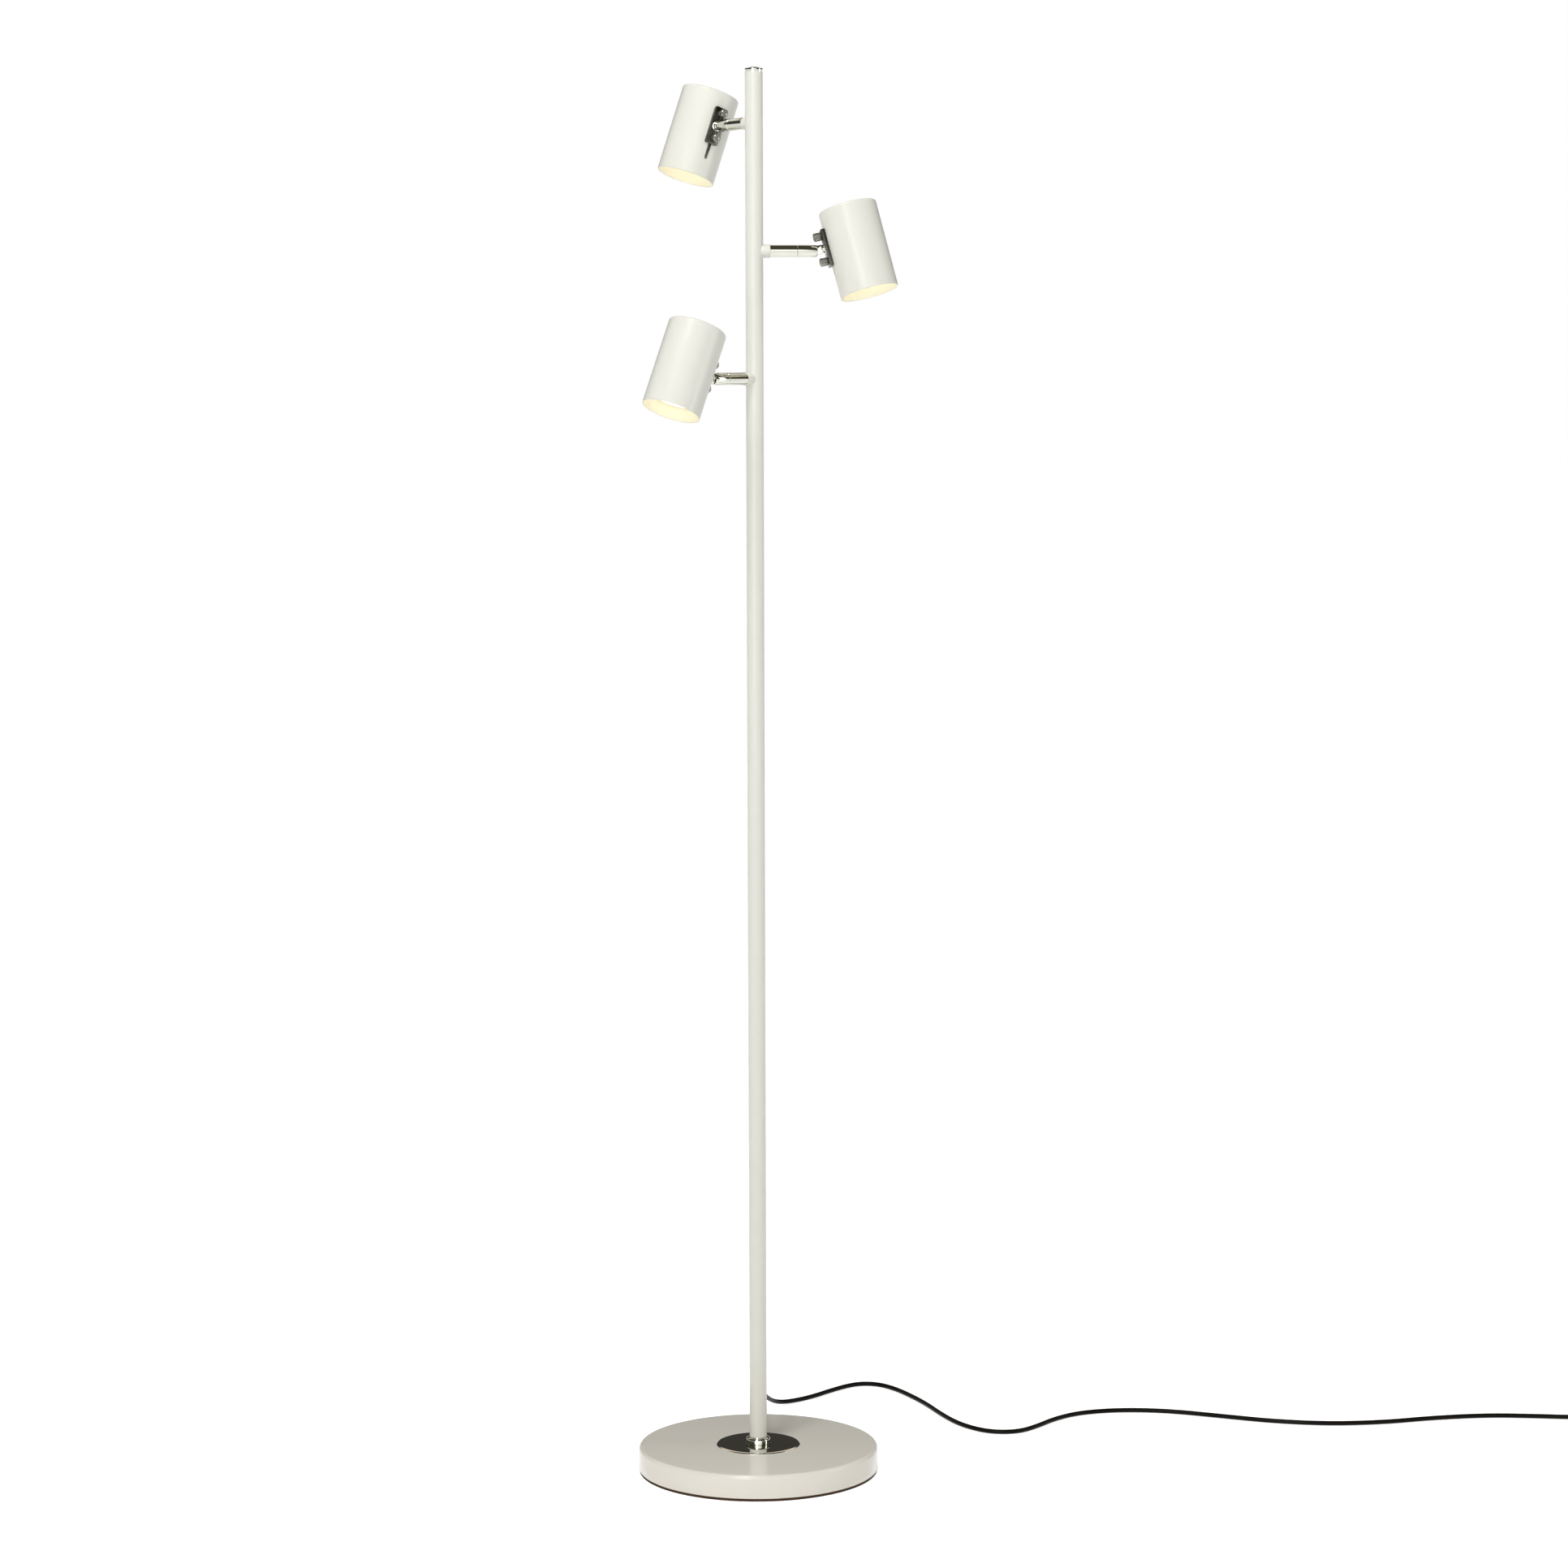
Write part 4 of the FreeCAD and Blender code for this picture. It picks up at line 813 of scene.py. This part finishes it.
# %% Thumb screws
KNOB_RADIUS = 0.0043
KNOB_LENGTH = 0.0086
KNOB_CHAMFER = 0.0009
RIDGES = 22
RIDGE_DEPTH = 0.00032
KNOB_SIDES = RIDGES * 4
DIMPLE_RADIUS = 0.0018
DIMPLE_DEPTH = 0.0004
SHANK_RADIUS = 0.0017
SHANK_PAST_CARRIER = 0.0037
KNURLED = finish("knurled_screw", (0.34, 0.335, 0.30), (0.26, 0.255, 0.22), 120, 2500,
                 (0.20, 0.27), 1e-6, METAL)


def model_thumb_screws():
    shank_end = SHADE_AXIS - SHADE_RADIUS + SHADE_WALL + SEAT_GAP + SHANK_PAST_CARRIER
    low, seat = PLATE_OFFSET - KNOB_LENGTH, PLATE_OFFSET - FIT
    knob = turned("thumb_screws", [
        (0, low + DIMPLE_DEPTH), (DIMPLE_RADIUS, low + DIMPLE_DEPTH), (DIMPLE_RADIUS + DIMPLE_DEPTH, low),
        (KNOB_RADIUS - KNOB_CHAMFER, low), (KNOB_RADIUS, low + KNOB_CHAMFER),
        (KNOB_RADIUS, PLATE_OFFSET - 0.0012), (KNOB_RADIUS - 0.0005, PLATE_OFFSET - 0.0006),
        (KNOB_RADIUS - 0.0011, seat), (SHANK_RADIUS, seat),
        (SHANK_RADIUS, shank_end), (0, shank_end)], sides=KNOB_SIDES)
    for vertex in knob.data.vertices:
        if abs(vertex.co.xy.length - KNOB_RADIUS) < 1e-5:
            column = round(math.atan2(vertex.co.y, vertex.co.x) / (2 * math.pi / KNOB_SIDES))
            vertex.co.xy *= 1 - RIDGE_DEPTH / KNOB_RADIUS * (1 - math.cos(column * math.pi / 2)) / 2
    bevelled(knob, 0, corner=28)
    lower_place, upper_place = (Matrix.Translation((0, 0, height)) @ UPRIGHT_TO_OUTWARD
                                for height in (-SCREW_SPREAD, SCREW_SPREAD))
    upper = carried_copy(knob, "thumb_screws_upper", upper_place)
    carry(knob, lower_place)
    pick(knob, upper)
    bpy.ops.object.join()
    knob.data.materials.append(KNURLED)
    return knob


# %% [markdown]
# ### Shades
# A shade is a short length of drawn tube with a closed, rounded end and a rolled mouth. It has a
# real wall, so the inside shows at the mouth, and the clamp slot is cut right through.

# %% Shade
SHADE_ROUND = 0.0025
MOUTH_ROUND = 0.0003
SHADE_PLACE = Matrix.Translation((SHADE_AXIS, 0, 0))
SLOT_WIDTH = 0.004
SLOT_TOP = SCREW_SPREAD + 0.002
SLOT_LOW = -PLATE_LENGTH / 2 - 0.016
SLOT_CUTTER_DEPTH = 0.008
NEARLY_ROUND = 0.98


def model_shade():
    top, mouth = PIVOT_BELOW_TOP, PIVOT_BELOW_TOP - SHADE_LENGTH
    bore = SHADE_RADIUS - SHADE_WALL
    edge_middle = (SHADE_RADIUS - SHADE_ROUND, top - SHADE_ROUND)
    outline = [(0, top)] + quarter_round(*edge_middle, SHADE_ROUND, 90)
    outline += [(SHADE_RADIUS, mouth + MOUTH_ROUND), (SHADE_RADIUS - MOUTH_ROUND, mouth)]
    outline += [(bore + MOUTH_ROUND, mouth), (bore, mouth + MOUTH_ROUND)]
    outline += quarter_round(*edge_middle, SHADE_ROUND - SHADE_WALL, 90)[::-1]
    outline += [(0, top - SHADE_WALL)]
    shade = carry(turned("shade_shell", outline, sides=160), SHADE_PLACE)
    half = SLOT_WIDTH / 2
    cutter = rounded_block("slot_cutter", (PLATE_OFFSET, -half, SLOT_LOW),
                           (PLATE_OFFSET + SLOT_CUTTER_DEPTH, half, SLOT_TOP),
                           half * NEARLY_ROUND, along="X", segments=12)
    bored(shade, cutter)
    return bevelled(shade, 0, corner=40)


# %% [markdown]
# ### Reflector lamps
# A reflector lamp has a domed front glass behind a rolled rim, a cone-shaped mirrored body and a
# narrow cap. Its front face has a material of its own, which glows.

# %% Reflector lamp
FACE_RECESS = 0.0115
LAMP_RADIUS = 0.025
CONE_TOP_RADIUS = 0.012
LAMP_CAP_RADIUS = 0.010
LAMP_CAP_HEIGHT = 0.014
HOLDER_LOW = 0.011
HOLDER_GAP = 0.0001
CONE_STEPS = 6
CONE_SWELL = 1.15
CONE_START = 0.006
FACE_DOME = ((0, 0), (0.012, 0.0002), (0.018, 0.0005), (0.0225, 0.0010), (0.0240, 0.0016),
             (0.0248, 0.0026), (LAMP_RADIUS, 0.0040))
GLOWS_TO = 0.0036


def model_lamp():
    face = PIVOT_BELOW_TOP - SHADE_LENGTH + FACE_RECESS
    cone_low, cone_high = face + CONE_START, HOLDER_LOW - LAMP_CAP_HEIGHT
    outline = [(radius, face + height) for radius, height in FACE_DOME]
    for k in range(CONE_STEPS + 1):
        share = k / CONE_STEPS
        outline += [(LAMP_RADIUS + (CONE_TOP_RADIUS - LAMP_RADIUS) * share ** CONE_SWELL,
                     cone_low + (cone_high - cone_low) * share)]
    cap_end = HOLDER_LOW - HOLDER_GAP
    outline += [(LAMP_CAP_RADIUS, cone_high), (LAMP_CAP_RADIUS, cap_end), (0, cap_end)]
    lamp = carry(turned("reflector_lamp", outline), SHADE_PLACE)
    lamp.data.materials.append(FINISHES["lamp_glass"])
    lamp.data.materials.append(LAMP_FACE)
    for polygon in lamp.data.polygons:
        polygon.material_index = int(polygon.center.z < face + GLOWS_TO)
    return lamp


head_models = (
    (model_bracket(), "head_bracket", "head", "dark_chrome", head_places),
    (model_thumb_screws(), "thumb_screws", "head", "dark_chrome", head_places),
    (model_shade(), "shade", "shade_slider", "white_paint", head_places),
    (model_lamp(), "bulb", "head", "lamp_glass", head_places),
)
place_copies(head_models)
print("heads placed")

# %% [markdown]
# ## What is on the cord
# Where the cord leaves the pole, a moulded bushing guards it: a flange against the pole, then a
# tapering sleeve with ribs that let it bend. The foot switch, its button and the plug are generic
# mouldings, modelled because they are part of any such lamp, though the photograph ends before them.

# %% Strain relief
bushing_low, bushing_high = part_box("cord_bushing")
SLEEVE_RIBS = 5
SLEEVE_BORE = 0.0026
SLEEVE_RADIUS = 0.004
SLEEVE_END_RADIUS = 0.0032
FLANGE = 0.002
FIRST_RIB = 0.003
RIB_GAP = 0.0004
RIB_DEPTH = 0.0005


def model_bushing():
    flange = (bushing_high.x - bushing_low.x) / 2
    inside, start, end = POLE_RADIUS - POLE_WALL, POLE_RADIUS, bushing_high.y
    outline = [(SLEEVE_BORE, inside), (SLEEVE_RADIUS, inside), (SLEEVE_RADIUS, start), (flange, start),
               (flange, start + FLANGE - RIB_GAP), (flange - RIB_GAP, start + FLANGE),
               (SLEEVE_RADIUS, start + FLANGE)]
    length = end - start - FIRST_RIB
    for k in range(SLEEVE_RIBS):
        share = (k + 0.4) / SLEEVE_RIBS
        radius = SLEEVE_RADIUS + (SLEEVE_END_RADIUS - SLEEVE_RADIUS) * share
        at = start + FIRST_RIB + length * share
        outline += [(radius, at - 2 * RIB_GAP), (radius - RIB_DEPTH, at - RIB_GAP),
                    (radius - RIB_DEPTH, at + RIB_GAP), (radius - RIB_DEPTH / 10, at + 2 * RIB_GAP)]
    outline += [(SLEEVE_END_RADIUS, end - 0.0003), (0.0030, end), (SLEEVE_BORE, end)]
    bushing = turned("cord_sleeve", outline, sides=48, bevel=0.0001, segments=2)
    backward = Matrix.Rotation(math.radians(-90), 4, "X")
    return carry(bushing, Matrix.Translation((0, 0, CORD_EXIT[2])) @ backward)


settle(model_bushing(), "stand", "black_plastic", "cord_bushing")

# %% [markdown]
# The foot switch is two shells that meet on a parting line, with a well for a round button. It
# starts as a block with rounded corners; a boolean cuts the well and the fine parting groove.

# %% Foot switch
switch_low, switch_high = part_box("foot_switch_body")
button_low, button_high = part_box("foot_switch_button")
switch_middle = (switch_low + switch_high) / 2
SWITCH_CORNER = 0.012
WELL_RADIUS = 0.0113
WELL_DEPTH = 0.010
PARTING_HEIGHT = 0.008
PARTING_DEPTH = 0.0005
PARTING_HALF = 0.0003
BUTTON_STEP = 0.0004
BUTTON_RINGS = 4


def model_switch():
    body = rounded_block("foot_switch_shell", switch_low, switch_high, SWITCH_CORNER, segments=12)
    bevelled(body, 0.0028, segments=5, corner=60)
    well = upright_cylinder("well_cutter", WELL_RADIUS, switch_high.z - WELL_DEPTH,
                            switch_high.z + WELL_DEPTH, switch_middle.xy, 96)
    bored(body, well)
    groove_height = switch_low.z + PARTING_HEIGHT
    outward = Vector((0.001, 0.001, 0))
    inward = Vector((PARTING_DEPTH, PARTING_DEPTH, -0.01))
    outer = rounded_block("groove", switch_low - outward, switch_high + outward, SWITCH_CORNER + outward.x)
    inner = rounded_block("groove_core", switch_low + inward, switch_high - inward,
                          SWITCH_CORNER - PARTING_DEPTH, segments=12)
    for vertex in outer.data.vertices:
        vertex.co.z = groove_height + math.copysign(PARTING_HALF, vertex.co.z - groove_height)
    bored(outer, inner)
    bored(body, outer)
    return bevelled(body, 0.0003, segments=2, corner=50)


def model_button():
    radius, top, step = (button_high.x - button_low.x) / 2, button_high.z, BUTTON_STEP
    outline = [(0, button_low.z), (radius, button_low.z), (radius, top - 3 * step),
               (radius - step, top - step), (radius - 3 * step, top), (radius - 5.5 * step, top)]
    for k in range(BUTTON_RINGS):
        ring = radius - (6.5 + 4 * k) * step
        outline += [(ring, top - step), (ring - step, top - step), (ring - 2 * step, top - step / 4)]
    outline += [(0.001, top - 0.75 * step), (0, top - 0.75 * step)]
    button = turned("foot_switch_key", outline, sides=72)
    return carry(button, Matrix.Translation((switch_middle.x, switch_middle.y, 0)))


foot_switch = settle(model_switch(), "stand", "black_plastic", "foot_switch_body")
switch_button = settle(model_button(), "switch_key", "button_plastic", "foot_switch_button")

# %% [markdown]
# The plug is a flat two-pin moulding that widens from the cord to the pins. It is extruded from
# an outline of six corners, rounded, and given a ribbed grip across each flat side.

# %% Plug
PLUG_LENGTH = 0.036
PLUG_SHOULDER = 0.020
PLUG_HALF = 0.0175
PLUG_BACK = 0.006
GRIP_RIBS = 4
GRIP_START = 0.008
GRIP_SPACING = 0.004
GRIP_WIDTH = 0.0014
GRIP_HALF = 0.0045
GRIP_DEPTH = 0.0005


def model_plug():
    corners = [(0, PLUG_BACK), (PLUG_SHOULDER, PLUG_HALF), (PLUG_LENGTH, PLUG_HALF),
               (PLUG_LENGTH, -PLUG_HALF), (PLUG_SHOULDER, -PLUG_HALF), (0, -PLUG_BACK)]
    bpy.ops.mesh.primitive_circle_add(vertices=len(corners), radius=PLUG_HALF, fill_type="NGON")
    plug = name_new("mains_plug_moulding")
    for vertex, corner in zip(plug.data.vertices, corners):
        vertex.co = (*corner, 0)
    mode("EDIT")
    bpy.ops.mesh.select_all(action="SELECT")
    extrude_up(PLUG_THICKNESS)
    bpy.ops.mesh.select_all(action="SELECT")
    bpy.ops.mesh.normals_make_consistent(inside=False)
    mode("OBJECT")
    bevelled(plug, 0.0026, segments=5, corner=30)
    for k in range(GRIP_RIBS):
        at, half = GRIP_START + GRIP_SPACING * k, GRIP_HALF + 0.001 * k
        for height in (0, PLUG_THICKNESS):
            rib = rounded_block("rib_cutter", (at, -half, height - GRIP_DEPTH),
                                (at + GRIP_WIDTH, half, height + GRIP_DEPTH), GRIP_DEPTH)
            bored(plug, rib)
    bevelled(plug, CHAMFER, segments=2, corner=50)
    heading = Matrix.Rotation(math.atan2(coil_heading.y, coil_heading.x), 4, "Z")
    return carry(plug, Matrix.Translation((plug_start.x, plug_start.y, 0)) @ heading)


plug = settle(model_plug(), "stand", "black_plastic", "mains_plug")
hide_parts("cord_run", "cord_coil", "cord_tail")

# %% [markdown]
# ## Studio
# The floor is a plain pale sheet. To the camera and in reflections it is nearly white. The world
# lights everything evenly. Polished metal shows mostly what stands around it, so for reflections
# alone the world has the dark sides and ceiling of a studio above the white horizon, with a pale
# band in front, where the photographer's screens would stand.

# %% Floor
FLOOR_SIZE = 80
FLOOR_BELOW = 0.0002
FLOOR_COLOUR = (0.86, 0.86, 0.855)
FLOOR_GLOW = 0.68
bpy.ops.mesh.primitive_plane_add(size=FLOOR_SIZE, location=(0, 0, -FLOOR_BELOW))
floor = name_new("studio_floor")


def ray_sum(nodes, links, path, kinds=("Is Camera Ray", "Is Glossy Ray", "Is Transmission Ray")):
    """One for rays that come straight from the camera, or off metal, or through glass."""
    total = path.outputs[kinds[0]]
    for kind in kinds[1:]:
        either = nodes.new("ShaderNodeMath")
        either.operation = "MAXIMUM"
        links.new(total, either.inputs[0])
        links.new(path.outputs[kind], either.inputs[1])
        total = either.outputs["Value"]
    return total


def floor_finish():
    material = bpy.data.materials.new("studio_floor")
    material.use_nodes = True
    nodes, links = material.node_tree.nodes, material.node_tree.links
    surface = nodes["Principled BSDF"]
    set_inputs(surface, {"Base Color": (*FLOOR_COLOUR, 1), "Roughness": 1.0, "Specular IOR Level": 0.0})
    seen = nodes.new("ShaderNodeLightPath")
    glow = nodes.new("ShaderNodeEmission")
    set_inputs(glow, {"Strength": FLOOR_GLOW})
    both, switch = nodes.new("ShaderNodeAddShader"), nodes.new("ShaderNodeMixShader")
    links.new(surface.outputs["BSDF"], both.inputs[0])
    links.new(glow.outputs["Emission"], both.inputs[1])
    links.new(ray_sum(nodes, links, seen), switch.inputs["Fac"])
    links.new(surface.outputs["BSDF"], switch.inputs[1])
    links.new(both.outputs["Shader"], switch.inputs[2])
    links.new(switch.outputs["Shader"], nodes["Material Output"].inputs["Surface"])
    return material


floor.data.materials.append(floor_finish())

# %% World
LIGHT_LEVEL = 0.40
LIGHT_COLOUR = (1.0, 0.995, 0.985)
WHITE = (1, 1, 1)
OLIVE = (0.07, 0.07, 0.045)
DARK = (0.045, 0.042, 0.036)
SCREEN = (1.6, 1.6, 1.58)
WARM = (0.80, 0.70, 0.58)
IN_FRONT = ((-90, WHITE), (-12, WHITE), (-4, SCREEN), (28, SCREEN), (36, OLIVE), (90, OLIVE))
AT_THE_SIDES = ((-90, WHITE), (1.5, WHITE), (3.5, OLIVE), (90, OLIVE))
BEHIND = ((-90, WHITE), (2.5, WHITE), (6, DARK), (24, DARK), (34, WARM), (48, WARM), (58, OLIVE),
          (90, OLIVE))
SIDES_START = (-0.92, -0.75)     # how far back one looks, from -1 in front to 1 behind
BACK_STARTS = (0.3, 0.5)


def height_ramp(nodes, links, split, stops):
    """A colour that depends on how high above the horizon one looks. The stops are in degrees."""
    angle = nodes.new("ShaderNodeMath")
    angle.operation = "ARCSINE"
    share = nodes.new("ShaderNodeMapRange")
    set_inputs(share, {"From Min": -math.pi / 2, "From Max": math.pi / 2})
    ramp = nodes.new("ShaderNodeValToRGB")
    elements = ramp.color_ramp.elements
    for k, (degrees, colour) in enumerate(stops):
        stop = elements[k] if k < 2 else elements.new(1.0)
        stop.position = (degrees + 90) / 180
        stop.color = (*colour, 1)
    links.new(split.outputs["Z"], angle.inputs[0])
    links.new(angle.outputs["Value"], share.inputs["Value"])
    links.new(share.outputs["Result"], ramp.inputs["Fac"])
    return ramp.outputs["Color"]


def build_world():
    world = bpy.data.worlds.new("studio")
    scene.world = world
    world.use_nodes = True
    nodes, links = world.node_tree.nodes, world.node_tree.links
    backdrop = nodes["Background"]
    set_inputs(backdrop, {"Color": (*WHITE, 1), "Strength": 1.0})
    soft = nodes.new("ShaderNodeBackground")
    set_inputs(soft, {"Color": (*LIGHT_COLOUR, 1), "Strength": LIGHT_LEVEL})
    mirrored = nodes.new("ShaderNodeBackground")
    direction = nodes.new("ShaderNodeTexCoord")
    split = nodes.new("ShaderNodeSeparateXYZ")
    links.new(direction.outputs["Generated"], split.inputs["Vector"])
    seen = height_ramp(nodes, links, split, IN_FRONT)
    for stops, (turn_start, turn_end) in ((AT_THE_SIDES, SIDES_START), (BEHIND, BACK_STARTS)):
        turn, around = nodes.new("ShaderNodeMapRange"), nodes.new("ShaderNodeMix")
        set_inputs(turn, {"From Min": turn_start, "From Max": turn_end})
        around.data_type = "RGBA"
        links.new(split.outputs["Y"], turn.inputs["Value"])
        links.new(turn.outputs["Result"], around.inputs["Factor"])
        links.new(seen, around.inputs[6])
        links.new(height_ramp(nodes, links, split, stops), around.inputs[7])
        seen = around.outputs[2]
    links.new(seen, mirrored.inputs["Color"])
    path = nodes.new("ShaderNodeLightPath")
    shiny, first = nodes.new("ShaderNodeMixShader"), nodes.new("ShaderNodeMixShader")
    links.new(ray_sum(nodes, links, path, ("Is Glossy Ray", "Is Transmission Ray")), shiny.inputs["Fac"])
    links.new(soft.outputs["Background"], shiny.inputs[1])
    links.new(mirrored.outputs["Background"], shiny.inputs[2])
    links.new(path.outputs["Is Camera Ray"], first.inputs["Fac"])
    links.new(shiny.outputs["Shader"], first.inputs[1])
    links.new(backdrop.outputs["Background"], first.inputs[2])
    links.new(first.outputs["Shader"], nodes["World Output"].inputs["Surface"])


build_world()

# %% [markdown]
# Four soft lamps shape the round forms. A tall one stands in front, a little to the left, and
# draws the soft bands down the shades and the pole. One hangs above the front of the lamp and
# lights the tops. A low one lights the base and the pole's foot. A narrow one at the right
# brightens the far edge of the pole and the shades.

# %% Lamps


def softbox(name, place, target, width, height, power):
    light = bpy.data.lights.new(name, "AREA")
    light.shape = "RECTANGLE"
    light.size, light.size_y = width, height
    light.energy = power
    lamp = bpy.data.objects.new(name, light)
    scene.collection.objects.link(lamp)
    lamp.location = place
    lamp.rotation_euler = (Vector(target) - Vector(place)).to_track_quat("-Z", "Y").to_euler()


# name, place, where it points, width and height in m, power in W
MIDDLE = (0, 0, 0.9)
SOFTBOXES = (
    ("key_softbox", (-1.2, -4.3, 1.55), MIDDLE, 0.7, 3.0, 40),
    ("top_softbox", (-0.65, -1.5, 3.8), (0, 0, 1.2), 0.7, 1.0, 50),
    ("low_softbox", (-0.7, -2.5, 0.3), (0, 0, 0.15), 1.0, 0.4, 6),
    ("side_softbox", (2.6, -0.35, 1.3), MIDDLE, 0.4, 2.0, 9),
)
for row in SOFTBOXES:
    softbox(*row)
scene.view_settings.view_transform = "Standard"
